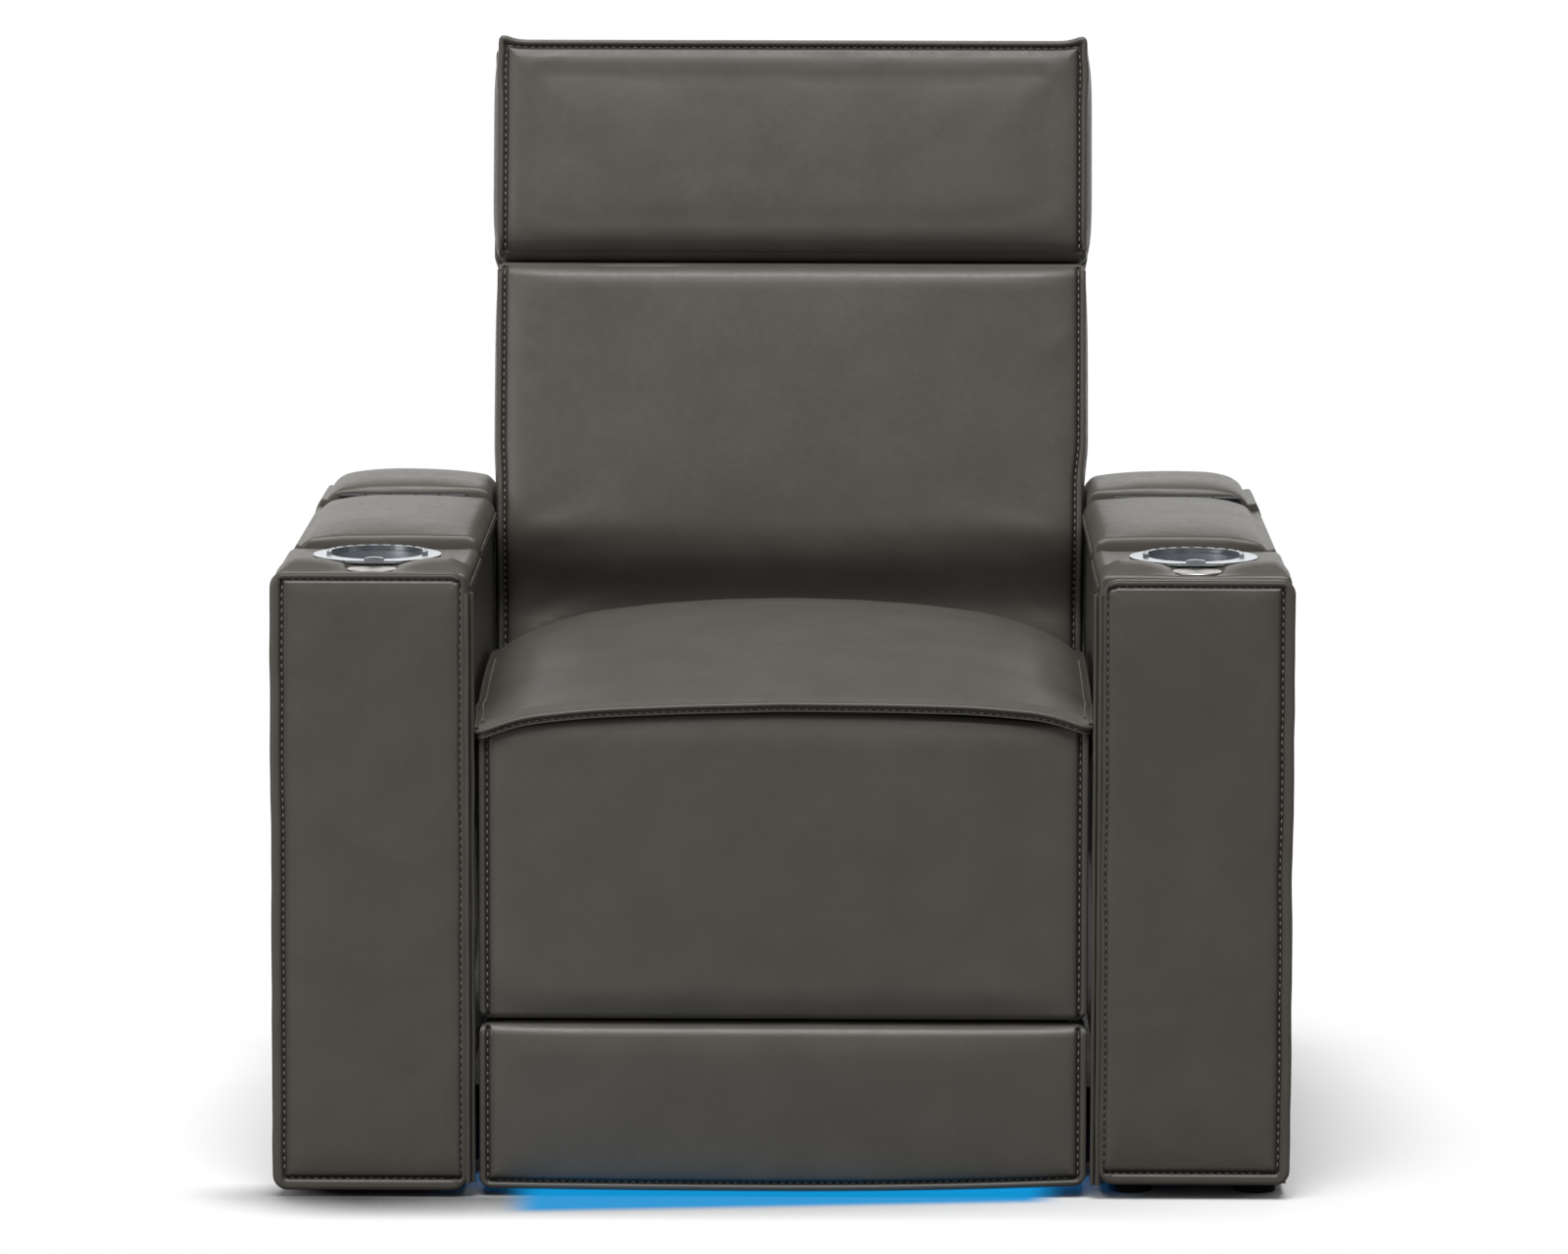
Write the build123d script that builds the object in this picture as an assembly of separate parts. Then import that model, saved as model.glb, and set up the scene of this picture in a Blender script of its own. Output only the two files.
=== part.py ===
from build123d import *
import os

os.makedirs("parts", exist_ok=True)

# Cinema recliner seat. Millimetres, Z up, the front faces -Y.
# While it is modelled, Y is counted back from the plane of the arms' front faces.

# ---- driving dimensions ----
overall_width = 950.0      # over both arms
seat_bay = 596.0           # between the arms' inner faces
arm_length = 720.0
arm_height = 556.0         # top of the wooden arm box
board = 16.0               # wall of the arm box
foot_height = 12.0
pad_front = 28.0           # thickness of the pad on the arm's front end
pad_top = 33.0             # thickness of the pad around the cup
cup_y = 147.0
cup_radius = 43.0
cup_depth = 74.0
puck_y = 65.0
puck_radius = 23.8
lid_front = 250.0
lid_back = 574.0
lid_height = 50.0          # top of the padded lid above the arm box
pad_hump = 9.0             # rise of the foam beside the round cap
pad_round = 22.0           # rounding of the lid's and rear pad's upper edges
tub_depth = 226.0
cushion_half = 287.0       # half width of the seat cushion
back_half = 293.0          # half width of the back cushion
head_half = 300.0          # half width of the headrest, which is clear of the arms
leg_half = 283.0           # half width of the leg pads
leg_face = 4.0             # the leg pads' front face
leg_thick = 66.0
leg_top = 461.0
leg_arch = 14.0           # drop of the leg rest's top edge towards its sides
leg_split = 167.0          # height of the gap between the two leg pads
leg_bottom = 20.0
seat_base = 385.0          # top of the seat's steel frame
seat_puff = 54.0           # crown of the seat above the leg rest's top edge
seat_rear = 545.0
plate_x = 276.0            # inner face of the seat's side plates
plate_thick = 3.0
roller_radius = 14.7
roller_z = 75.0
roller_front = 200.0
roller_rear = 520.0
beam = 40.0                # square tubes across the base
beam_wall = 3.0
beam_front = 120.0
beam_rear = 600.0
beam_z = 14.0              # underside of those tubes
frame_front = 100.0        # front of the seat's steel frame
frame_bar = 25.0
frame_deep = 20.0
screw_z = 105.0            # axis of the glide's lead screw
hinge_x = 245.0            # middle of each leg hinge
post_in = 244.0            # posts of the back frame
post_wide = 26.0
back_y = 545.0
back_z = 410.0
back_lean = 13.0
back_length = 433.0
head_length = 222.0
cushion_depth = 85.0
back_depth = 185.0         # cushion face to the rear of the shell
hinge_y = 26.0             # axis the leg rest swings about
hinge_z = 430.0
drive_y = 380.0            # torque tube of the leg drive
drive_z = 335.0
crank_y = 72.0             # offset of the crank pin from the tube
crank_z = -95.0
recline_y = 590.0          # axis the back turns about
recline_z = 338.0
seated = 0.3               # gap between two bodies that rest on each other
shaft_gap = 0.05           # radial clearance of a pin in its hole

# ---- dependent dimensions ----
arm_out = overall_width / 2
arm_in = seat_bay / 2
arm_mid = (arm_out + arm_in) / 2
case_front = pad_front + 1.0
pad_z = arm_height + pad_top
lid_rise = arm_height + lid_height
tub_floor = arm_height - tub_depth
pad_in = arm_in - 3.0
switch_y = cup_y - 50.5
lid_axis_y = lid_back + 4.0
lid_axis_z = lid_rise - 8.0
rear_pad_front = lid_back + 8.0
leg_back = leg_face + leg_thick
head_pivot_u = 22.0
ear_x = 200.0              # middle of each headrest hinge
crease = 3.0
head_base = back_length + crease
head_pivot_w = head_base + head_pivot_u
cushion_base = seat_base + 4.0
seat_crown = leg_top + seat_puff
rail_in = arm_in - 3.3
post_out = post_in + post_wide


# ---- plain helpers ----
def block(x0, x1, y0, y1, z0, z1):
    return Pos((x0 + x1) / 2, (y0 + y1) / 2, (z0 + z1) / 2) * Box(x1 - x0, y1 - y0, z1 - z0)


def rod_x(radius, x0, x1, y, z):
    return Pos((x0 + x1) / 2, y, z) * Rot(Y=90) * Cylinder(radius, x1 - x0)


def rod_y(radius, y0, y1, x, z):
    return Pos(x, (y0 + y1) / 2, z) * Rot(X=90) * Cylinder(radius, y1 - y0)


def rod_z(radius, z0, z1, x, y):
    return Pos(x, y, (z0 + z1) / 2) * Cylinder(radius, z1 - z0)


def slab_x(points, x0, x1, rounding=0):
    outline = make_face(Polyline(*points, close=True))
    outline = fillet(outline.vertices(), rounding) if rounding else outline
    return extrude(Plane.YZ.offset(x0) * outline, x1 - x0, dir=(1, 0, 0))


def bar_x(y0, z0, y1, z1, half, x0, x1):
    # a flat bar with round ends between two pin centres
    ends = rod_x(half, x0, x1, y0, z0) + rod_x(half, x0, x1, y1, z1)
    length = ((y1 - y0) ** 2 + (z1 - z0) ** 2) ** 0.5
    ny = (z1 - z0) / length * half
    nz = (y1 - y0) / length * half
    middle = [(y0 - ny, z0 + nz), (y1 - ny, z1 + nz), (y1 + ny, z1 - nz), (y0 + ny, z0 - nz)]
    return ends + slab_x(middle, x0, x1)


def bowed(u0, u1, v0, v1, bow_u0=0, bow_u1=0, bow_v0=0, bow_v1=0, corner=0):
    # a rectangle whose sides may bow out; the given limits are the outermost points
    a = (u0 + bow_u0, v0 + bow_v0)
    b = (u1 - bow_u1, v0 + bow_v0)
    c = (u1 - bow_u1, v1 - bow_v1)
    d = (u0 + bow_u0, v1 - bow_v1)
    um = (a[0] + b[0]) / 2
    vm = (b[1] + c[1]) / 2
    sides = [(a, b, (um, v0), bow_v0), (b, c, (u1, vm), bow_u1)]
    sides += [(c, d, (um, v1), bow_v1), (d, a, (u0, vm), bow_u0)]
    edges = [ThreePointArc(p, m, q) if bow else Line(p, q) for p, q, m, bow in sides]
    outline = make_face(edges)
    radius = min(corner, 0.38 * (u1 - u0), 0.38 * (v1 - v0))
    return fillet(outline.vertices(), radius) if radius else outline


def pillow(x0, x1, y0, y1, z0, z1, front=0, back=0, top=0, bottom=0, sides=0, corner=8):
    # an upholstered block: the volume common to its side, front and top outlines
    reach = 25.0
    ease = 0.4
    side = Plane.YZ.offset(x0 - reach) * bowed(y0, y1, z0, z1, front, back, bottom, top, corner)
    face = bowed(x0, x1, z0 - ease, z1 + ease, sides, sides, bottom, top, corner)
    plan = bowed(x0 - ease, x1 + ease, y0 - ease, y1 + ease, sides, sides, front, back, corner)
    solid = extrude(side, x1 - x0 + 2 * reach, dir=(1, 0, 0))
    solid = solid & extrude(Plane.XZ.offset(-y1 - reach) * face, y1 - y0 + 2 * reach, dir=(0, -1, 0))
    return solid & extrude(Plane.XY.offset(z0 - reach) * plan, z1 - z0 + 2 * reach, dir=(0, 0, 1))


def mirrored(part):
    return mirror(part, about=Plane.YZ)


def springs(x_list, y0, y1, swing, pitch, z0, z1):
    # flat zigzag springs that run from y0 to y1
    result = None
    for x in x_list:
        count = int((y1 - y0) / pitch)
        step = (y1 - y0) / count
        points = [(x, y0)]
        for i in range(count - 1):
            points.append((x + (swing if i % 2 else -swing), y0 + (i + 0.6) * step))
            points.append((x + (swing if i % 2 else -swing), y0 + (i + 1.0) * step))
        points.append((x, y1))
        wire = extrude(Pos(0, 0, z0) * trace(Polyline(*points), z1 - z0), z1 - z0)
        result = wire if result is None else result + wire
    return result


# ---- arm box and what stands on it (made for +X, mirrored for -X) ----
def arm_case():
    solid = block(arm_in, arm_out, case_front, arm_length, foot_height, arm_height)
    solid = fillet(solid.edges().filter_by(Axis.Z).group_by(Axis.Y)[-1], 9)
    solid -= block(arm_in + board, arm_out - board, case_front + board, arm_length - board,
                   foot_height + board, arm_height + 1)
    solid += block(arm_in + board, arm_out - board, rear_pad_front - 0.4, rear_pad_front + 15,
                   arm_height - 156, arm_height)
    solid += block(arm_in + board, arm_out - board, 232, 248, arm_height - 156, arm_height)
    return solid


def arm_front_pad():
    return pillow(arm_in - 7, arm_out, 0, case_front, foot_height, pad_z - 2,
                  front=6, top=1.5, sides=1.5, corner=14)


def arm_top_pad():
    # flat around the cup, with two humps of foam beside the round cap
    solid = pillow(pad_in, arm_out, case_front, lid_front - 3, arm_height, pad_z,
                   top=4, sides=1.5, corner=9)
    solid += pillow(pad_in, arm_out, case_front, cup_y - 53, arm_height, pad_z + pad_hump,
                    top=pad_hump + 3, sides=1.5, corner=9)
    valley = rod_y(70, case_front - 2, cup_y - 50, arm_mid, pad_z + 64)
    solid -= valley
    solid -= rod_z(cup_radius + 3.5, arm_height - 1, pad_z + 9, arm_mid, cup_y)
    solid -= rod_z(puck_radius + 1, arm_height + 8, pad_z + 9, arm_mid, puck_y)
    solid -= block(arm_mid - 12.4, arm_mid + 12.4, switch_y - 5.4, switch_y + 6, pad_z - 15, pad_z + 9)
    return solid


def arm_rear_pad():
    return pillow(pad_in, arm_out, rear_pad_front, arm_length, arm_height, lid_rise + 7,
                  back=3, top=6, sides=1.5, corner=pad_round)


def storage_tub():
    x0, x1, y0, y1 = arm_in + 20, arm_out - 20, lid_front + 5, lid_back - 4
    solid = block(x0, x1, y0, y1, tub_floor, arm_height + 3)
    solid += block(x0 - 14, x1 + 14, y0 - 3, y1 + 3, arm_height, arm_height + 3)
    return solid - block(x0 + 3, x1 - 3, y0 + 3, y1 - 3, tub_floor + 3, arm_height + 9)


def cup_well():
    solid = rod_z(cup_radius + 2.5, pad_z - cup_depth, pad_z + 0.5, arm_mid, cup_y)
    return solid - rod_z(cup_radius, pad_z - cup_depth + 2.5, pad_z + 9, arm_mid, cup_y)


def cup_bezel():
    # round plate drawn out to a straight lip in front, where the switch sits
    disc = Pos(arm_mid, cup_y) * Circle(60.5)
    lip = cup_y - 57
    neck = make_face(Polyline((arm_mid - 26, lip), (arm_mid + 26, lip), (arm_mid + 56, cup_y - 22),
                              (arm_mid - 56, cup_y - 22), close=True))
    neck = fillet(neck.vertices(), 4)
    solid = extrude(Pos(0, 0, pad_z + 0.5) * (disc + neck), 2.5)
    solid -= block(arm_mid - 70, arm_mid + 70, cup_y - 70, lip, pad_z, pad_z + 9)
    solid -= rod_z(cup_radius, pad_z - 1, pad_z + 9, arm_mid, cup_y)
    return solid - block(arm_mid - 9.6, arm_mid + 9.6, switch_y - 3.1, switch_y + 3.1, pad_z - 1, pad_z + 9)


def cup_rim():
    # toothed half rim behind the opening that locks a tray in place
    z0 = pad_z + 3
    solid = rod_z(cup_radius + 5, z0, z0 + 3, arm_mid, cup_y)
    solid -= rod_z(cup_radius + 0.5, z0 - 1, z0 + 9, arm_mid, cup_y)
    solid -= block(arm_mid - 60, arm_mid + 60, cup_y - 60, cup_y - 8, z0 - 1, z0 + 9)
    notch = Pos(cup_radius + 5, 0, z0 + 2.5) * Box(6, 5, 3)
    for i in range(13):
        solid -= Pos(arm_mid, cup_y, 0) * Rot(Z=15 * i) * notch
    return solid


def switch_housing():
    y = switch_y
    solid = block(arm_mid - 12, arm_mid + 12, y - 5, y + 4.8, pad_z - 14, pad_z + 0.5)
    solid -= block(arm_mid - 10, arm_mid + 10, y - 3.1, y + 3.1, pad_z - 11, pad_z + 1)
    return solid - rod_y(0.9 + shaft_gap, y - 4, y + 4, arm_mid, pad_z - 3)


def rocker():
    y = switch_y
    outline = make_face(Polyline((-4, -9), (4, -9), (9, 3.5), (9, 6), (0, 7), (-9, 6), (-9, 3.5),
                                 close=True))
    outline = fillet(outline.vertices(), 0.8)
    solid = extrude(Plane.XZ.offset(-y - 2.5) * (Pos(arm_mid, pad_z - 1) * outline), 5, dir=(0, -1, 0))
    return solid + rod_y(0.9, y - 3.8, y + 3.8, arm_mid, pad_z - 3)


def dock_sleeve():
    solid = rod_z(puck_radius + 1, arm_height + 8, pad_z - 7, arm_mid, puck_y)
    return solid - rod_z(9 + shaft_gap, arm_height + 10, pad_z, arm_mid, puck_y)


def dock_cap():
    z0 = pad_z - 7 + seated
    solid = rod_z(puck_radius, z0, pad_z - 1, arm_mid, puck_y)
    solid = fillet(solid.edges().filter_by(GeomType.CIRCLE).group_by(Axis.Z)[-1], 1.2)
    return solid + rod_z(9, arm_height + 12, z0 + 1, arm_mid, puck_y)


def lid_board():
    z0 = arm_height + 3 + seated
    return block(arm_in + 3, arm_out - 5, lid_front + 3, lid_back - 3, z0, z0 + 9)


def lid_pad():
    return pillow(pad_in, arm_out, lid_front, lid_back, arm_height + 12 + seated, lid_rise,
                  front=2, top=9, sides=2, corner=pad_round)


def lid_leaf():
    z0 = arm_height + 4
    x0, x1 = arm_in + 24, arm_out - 24
    solid = block(x0, x1, lid_back - 3, lid_back - 1, z0, z0 + 8.3)
    solid += block(x0, x1, lid_back - 3, lid_back + 2.6, z0, z0 + 2)
    solid += block(x0, x1, lid_back + 0.6, lid_back + 2.6, z0, lid_axis_z)
    for i in range(3):
        xm = arm_mid + (i - 1) * 50
        solid -= rod_x(4, xm - 13, xm + 13, lid_axis_y, lid_axis_z)
    for i in range(2):
        xm = arm_mid + (i - 0.5) * 50
        solid += rod_x(3.4, xm - 11, xm + 11, lid_axis_y, lid_axis_z)
    return solid - rod_x(1.5 + shaft_gap, x0 - 1, x1 + 1, lid_axis_y, lid_axis_z)


def lid_fixed_leaf():
    x0, x1 = arm_in + 24, arm_out - 24
    solid = block(x0, x1, rear_pad_front - 2.4, rear_pad_front - 0.4, arm_height - 30, lid_axis_z)
    for i in range(2):
        xm = arm_mid + (i - 0.5) * 50
        solid -= rod_x(4, xm - 13, xm + 13, lid_axis_y, lid_axis_z)
    for i in range(3):
        xm = arm_mid + (i - 1) * 50
        solid += rod_x(3.4, xm - 12, xm + 12, lid_axis_y, lid_axis_z)
    return solid + rod_x(1.5, x0 + 2, x1 - 2, lid_axis_y, lid_axis_z)


# ---- base ----
def base_frame():
    solid = None
    near, far = beam_front - 35, beam_rear + beam
    lower, upper = roller_z - 18, roller_z + 18
    for y in (beam_front, beam_rear):
        tube = block(-arm_in, arm_in, y, y + beam, beam_z, beam_z + beam)
        tube -= block(-arm_in - 1, arm_in + 1, y + beam_wall, y + beam - beam_wall,
                      beam_z + beam_wall, beam_z + beam - beam_wall)
        solid = tube if solid is None else solid + tube
    for side in (-1, 1):
        web = block(rail_in, arm_in, near, far, lower, upper)
        web += block(arm_in - board, arm_in, near, far, lower, lower + beam_wall)
        web += block(arm_in - board, arm_in, near, far, upper - beam_wall, upper)
        for y in (beam_front, beam_rear):
            web += block(rail_in, arm_in, y, y + beam, beam_z + beam, lower)
        solid += web if side > 0 else mirrored(web)
    return solid


def glide_feet():
    solid = None
    for x in (arm_in + 30, arm_out - 30):
        for y in (case_front + 30, arm_length - 40):
            foot = rod_z(20, 0, foot_height, x, y) - rod_z(8, foot_height - 3, foot_height + 1, x, y)
            solid = foot if solid is None else solid + foot
    return solid + mirrored(solid)


def led_strip():
    return block(-seat_bay * 0.436, seat_bay * 0.436, beam_front - 8, beam_front, beam_z + 8, beam_z + 20)


def power_supply():
    y0, z0 = beam_rear - 55, beam_z + 4
    solid = block(70, 210, y0, beam_rear, z0, z0 + 32)
    solid = fillet(solid.edges().filter_by(Axis.Z), 4)
    for i in range(7):
        solid -= block(84 + 16 * i, 92 + 16 * i, y0 + 7, beam_rear - 7, z0 + 30, z0 + 33)
    return solid + rod_y(6, y0 - 12, y0, 90, z0 + 16)


def glide_screw():
    # lead screw that draws the seat forward, with its motor on the rear beam
    head, tail = drive_y - 80, beam_rear - 30
    solid = rod_y(8, head, tail, 0, screw_z) + rod_y(28, tail, tail + 85, 0, screw_z)
    solid += block(-24, 24, beam_rear + 4, beam_rear + 36, beam_z + beam, screw_z - 21)
    for i in range(17):
        y = head + 6 + 14 * i
        solid -= rod_y(9, y, y + 3, 0, screw_z) - rod_y(7, head + 5, tail - 10, 0, screw_z)
    return solid


# ---- seat ----
def seat_side_plate():
    y0, y1, y2 = frame_front - 5, seat_rear + 15, recline_y + 32
    z0, z1, z2 = roller_z - 13, recline_z - 38, seat_base - 10
    points = [(y0, z0), (y1, z0), (y2, z1), (y2, recline_z + 28), (y1, z2), (y0 + 25, z2), (y0, z2 - 25)]
    solid = slab_x(points, plate_x, plate_x + plate_thick)
    rim, strut = z0 + 48, z0 + 118
    low = [(y0 + 55, rim), (y1 - 60, rim), (y1 - 30, z1 - 50), (drive_y + 60, z1 - 50),
           (drive_y - 50, strut), (y0 + 55, strut)]
    high = [(y0 + 55, strut + 35), (drive_y - 90, strut + 35), (drive_y - 80, z1), (y0 + 55, z2 - 35)]
    for window in (low, high):
        solid -= slab_x(window, plate_x - 1, plate_x + plate_thick + 1, 8)
    solid -= rod_x(11 + shaft_gap, plate_x - 1, plate_x + 9, drive_y, drive_z)
    solid -= rod_x(8 + shaft_gap, plate_x - 1, plate_x + 9, recline_y, recline_z)
    for y in (roller_front, roller_rear):
        solid -= rod_x(5, plate_x - 1, plate_x + 9, y, roller_z)
    return solid


def seat_rollers():
    solid = None
    for y in (roller_front, roller_rear):
        wheel = rod_x(roller_radius, plate_x + plate_thick, arm_in - 4.5, y, roller_z)
        wheel = chamfer(wheel.edges().filter_by(GeomType.CIRCLE), 1)
        wheel += rod_x(4.95, plate_x - 2, plate_x + plate_thick, y, roller_z)
        wheel += rod_x(8, plate_x - 4, plate_x, y, roller_z)
        solid = wheel if solid is None else solid + wheel
    return solid + mirrored(solid)


def seat_frame():
    z0 = seat_base - frame_deep
    inner = plate_x - frame_bar
    front_bar = frame_front + frame_bar + 5
    nut_y = drive_y + 40
    solid = block(-plate_x, plate_x, frame_front, seat_rear, z0, seat_base)
    solid -= block(-inner, inner, front_bar, seat_rear - frame_bar - 5, z0 - 1, seat_base + 1)
    solid += block(-inner, inner, drive_y - frame_bar, drive_y + 15, z0, seat_base - 8)
    solid += block(-plate_x, plate_x, nut_y - 10, nut_y + 10, screw_z - 20, screw_z + 20)
    solid += rod_y(20, nut_y - 20, nut_y + 20, 0, screw_z)
    for side in (-1, 1):
        x0, x1 = hinge_x - 3, hinge_x + 3
        foot = [(frame_front, z0), (front_bar, z0), (front_bar, seat_base), (frame_front - 10, seat_base)]
        nose = [(hinge_y + 34, hinge_z - 22), (hinge_y + 4, hinge_z + 11), (hinge_y - 5, hinge_z + 10),
                (hinge_y - 9, hinge_z - 4)]
        ear = slab_x(foot + nose, x0, x1)
        ear += rod_x(11, x0, x1, hinge_y, hinge_z)
        ear -= rod_x(4 + shaft_gap, x0 - 2, x1 + 2, hinge_y, hinge_z)
        solid += ear if side > 0 else mirrored(ear)
    return solid - rod_y(8.1, nut_y - 21, nut_y + 21, 0, screw_z)


def seat_springs():
    lane = (plate_x - 36) / 3
    places = [(i - 2.5) * lane for i in range(6)]
    return springs(places, frame_front + 18, seat_rear - 12, 0.3 * lane, 34, seat_base, seat_base + 4)


def seat_cushion():
    # crowned both ways, with a front roll that overhangs the leg rest
    crown = seat_crown
    rear = seat_rear + 14
    falls = [(1.0, 16), (0.79, 2), (0.59, 0), (0.39, 5), (0.21, 17), (0.083, 32), (0.018, 42), (0, 50)]
    top = [(leg_face + (rear - leg_face) * f, crown - drop) for f, drop in falls]
    roll = leg_top - leg_arch
    under_y = frame_front - 8
    frame = [(leg_face, crown - 50), (leg_face, roll), (under_y, roll), (under_y, cushion_base),
             (seat_rear - 8, cushion_base), (rear, crown - 16)]
    outline = make_face([Spline(*top), Polyline(*frame)])
    solid = extrude(Plane.YZ.offset(-cushion_half - 20) * outline, 2 * cushion_half + 40, dir=(1, 0, 0))
    drops = [(1.0, 68), (0.948, 44), (0.843, 27), (0.683, 14), (0.46, 6), (0, 0)]
    right = [(cushion_half * f, crown + 0.4 - d) for f, d in drops]
    arch = right + [(-x, z) for x, z in reversed(right[:-1])]
    low = cushion_base - 9
    base = [arch[-1], (-cushion_half, low), (cushion_half, low), arch[0]]
    face = make_face([Spline(*arch), Polyline(*base)])
    solid = solid & extrude(Plane.XZ.offset(20) * face, 700, dir=(0, 1, 0))
    plan = bowed(-cushion_half - 0.4, cushion_half + 0.4, leg_face - 0.4, rear + 81, 2, 2, 2, 0, 14)
    solid = solid & extrude(Plane.XY.offset(low - 30) * plan, 200, dir=(0, 0, 1))
    under = bowed(-arm_in - 2, arm_in + 2, low - 80, leg_top + 3, 0, 0, 0, leg_arch * 1.12)
    return solid - extrude(Plane.XZ.offset(-under_y) * under, under_y + 8, dir=(0, -1, 0))


# ---- leg rest and its drive ----
def hinge_slot(x):
    return block(x - 11, x + 11, hinge_y - 13, leg_back + 40, hinge_z - 66, leg_top + 9)


def leg_pad_upper():
    solid = pillow(-leg_half, leg_half, leg_face, leg_back, leg_split + 2, leg_top,
                   front=11, top=leg_arch, bottom=2, sides=2, corner=12)
    return solid - hinge_slot(hinge_x) - hinge_slot(-hinge_x)


def leg_pad_lower():
    return pillow(-leg_half, leg_half, leg_face, leg_back, leg_bottom, leg_split - 2,
                  front=8, top=2, bottom=2, sides=2, corner=12)


def leg_board():
    half = leg_half - 15
    solid = block(-half, half, leg_back, leg_back + 15, leg_bottom + 8, hinge_z - 8)
    return solid - hinge_slot(hinge_x) - hinge_slot(-hinge_x)


def leg_brackets():
    # hinge cheeks, pins and the lugs the drive rods push on
    back = leg_back + 15
    pin_y = hinge_y + crank_y
    pin_z = hinge_z + crank_z
    solid = None
    root = hinge_z - 64
    x0 = hinge_x - 58
    for x in (hinge_x - 10.5, hinge_x + 6.5):
        cheek = rod_x(11, x, x + 4, hinge_y, hinge_z)
        cheek += slab_x([(hinge_y - 9, hinge_z - 6), (hinge_y + 6, hinge_z + 10), (back, root + 34),
                         (back, root), (leg_back - 8, root)], x, x + 4)
        solid = cheek if solid is None else solid + cheek
    solid += rod_x(4, hinge_x - 9, hinge_x + 9, hinge_y, hinge_z)
    solid += block(x0, hinge_x + 15, back, back + 3, root - 66, root)
    lug = rod_x(11, x0, x0 + 4, pin_y, pin_z)
    lug += slab_x([(back, root - 62), (pin_y + 2, pin_z - 10), (pin_y + 4, pin_z + 9), (back, root - 4)],
                  x0, x0 + 4)
    lug += rod_x(5, x0 - 12, x0 + 3, pin_y, pin_z)
    solid += lug
    return solid + mirrored(solid)


def leg_crank():
    # torque tube with a crank on each side
    solid = rod_x(11, -plate_x - plate_thick, plate_x + plate_thick, drive_y, drive_z)
    x0 = hinge_x - 78
    for side in (-1, 1):
        arm = bar_x(drive_y, drive_z, drive_y + crank_y, drive_z + crank_z, 13, x0, x0 + 7)
        arm += rod_x(17, x0 - 4, x0 + 11, drive_y, drive_z)
        arm += rod_x(5, x0 + 7, x0 + 21, drive_y + crank_y, drive_z + crank_z)
        solid += arm if side > 0 else mirrored(arm)
    return solid


def leg_rods():
    y0, z0 = drive_y + crank_y, drive_z + crank_z
    y1, z1 = hinge_y + crank_y, hinge_z + crank_z
    x0 = hinge_x - 68
    solid = bar_x(y0, z0, y1, z1, 11, x0, x0 + 8)
    solid -= rod_x(5 + shaft_gap, x0 - 7, x0 + 13, y0, z0)
    solid -= rod_x(5 + shaft_gap, x0 - 7, x0 + 13, y1, z1)
    return solid + mirrored(solid)


def leg_gearmotor():
    top = seat_base - frame_deep
    y0, y1, z0 = drive_y - 28, drive_y + 28, drive_z - 32
    solid = block(-28, 28, y0, y1, z0, top)
    solid = fillet(solid.edges().filter_by(Axis.X), 6)
    solid += rod_y(23, y1, y1 + 84, 0, z0 + 25)
    solid += rod_y(9, y1 + 84, y1 + 92, 0, z0 + 25)
    solid += block(-40, 40, drive_y - 18, drive_y + 8, top - 3, top)
    return solid - rod_x(11 + shaft_gap, -60, 60, drive_y, drive_z)


# ---- back, in its own upright frame: Y counts back from the face, Z up from its lower edge ----
def back_cushion():
    return pillow(-back_half, back_half, 0, cushion_depth, 0, back_length,
                  front=16, top=2, bottom=3, sides=3, corner=14)


def back_frame():
    u = cushion_depth + 4
    solid = None
    for side in (-1, 1):
        post = block(post_in, post_out, u, u + 25, -60, back_length - 13)
        post += slab_x([(38, -78), (80, -86), (u + 25, -40), (u + 25, 60), (u, 60), (u, -3), (50, -34)],
                       post_out, plate_x - 0.4)
        ear = block(ear_x - 3, ear_x + 3, u + 8, u + 26, back_length - 40, head_pivot_w + 9)
        ear += block(ear_x - 3, ear_x + 3, head_pivot_u, u + 26, head_pivot_w - 9, head_pivot_w + 9)
        ear += rod_x(9, ear_x - 3, ear_x + 3, head_pivot_u, head_pivot_w)
        ear -= rod_x(5 + shaft_gap, ear_x - 10, ear_x + 10, head_pivot_u, head_pivot_w)
        post += ear
        solid = post if solid is None else solid + mirrored(post)
    for z in (-50, 0.415 * back_length, back_length - 38):
        solid += block(-post_in, post_in, u, u + 25, z, z + 25)
    return solid


def recline_pins():
    # pins through the side plates, square to the seat
    pin = rod_x(8, post_out, plate_x + plate_thick, recline_y, recline_z)
    return pin + mirrored(pin)


def back_springs():
    lane = (post_in - 16) / 3
    places = [(i - 2.5) * lane for i in range(6)]
    solid = springs(places, -40, back_length - 20, 0.3 * lane, 36, 0, 4)
    return Pos(0, cushion_depth + 4, 0) * Rot(X=90) * solid


def back_shell():
    x = back_half
    u0 = cushion_depth + 0.5
    solid = pillow(-x, x, u0 - 26, back_depth, -55, back_length, back=10, corner=12)
    solid -= block(-x + 12, x - 12, u0 - 30, back_depth - 16, -70, back_length - 10)
    solid -= block(-x - 5, x + 5, u0 - 30, u0, -70, back_length + 5)
    tail = pillow(4 - post_out, post_out - 4, back_depth - 16, back_depth - 4, -130, -20, corner=5)
    solid += tail
    for xm in (-ear_x, ear_x):
        solid -= block(xm - 5, xm + 5, cushion_depth, cushion_depth + 40, back_length - 20, back_length + 5)
    return solid


def headrest_cushion():
    solid = pillow(-head_half, head_half, 0, cushion_depth, head_base, head_base + head_length,
                   front=12, top=3, bottom=2, sides=4, corner=12)
    for xm in (-ear_x, ear_x):
        solid -= block(xm - 12, xm + 12, 10, cushion_depth + 9, head_base - 9, head_base + 88)
    return solid


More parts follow.
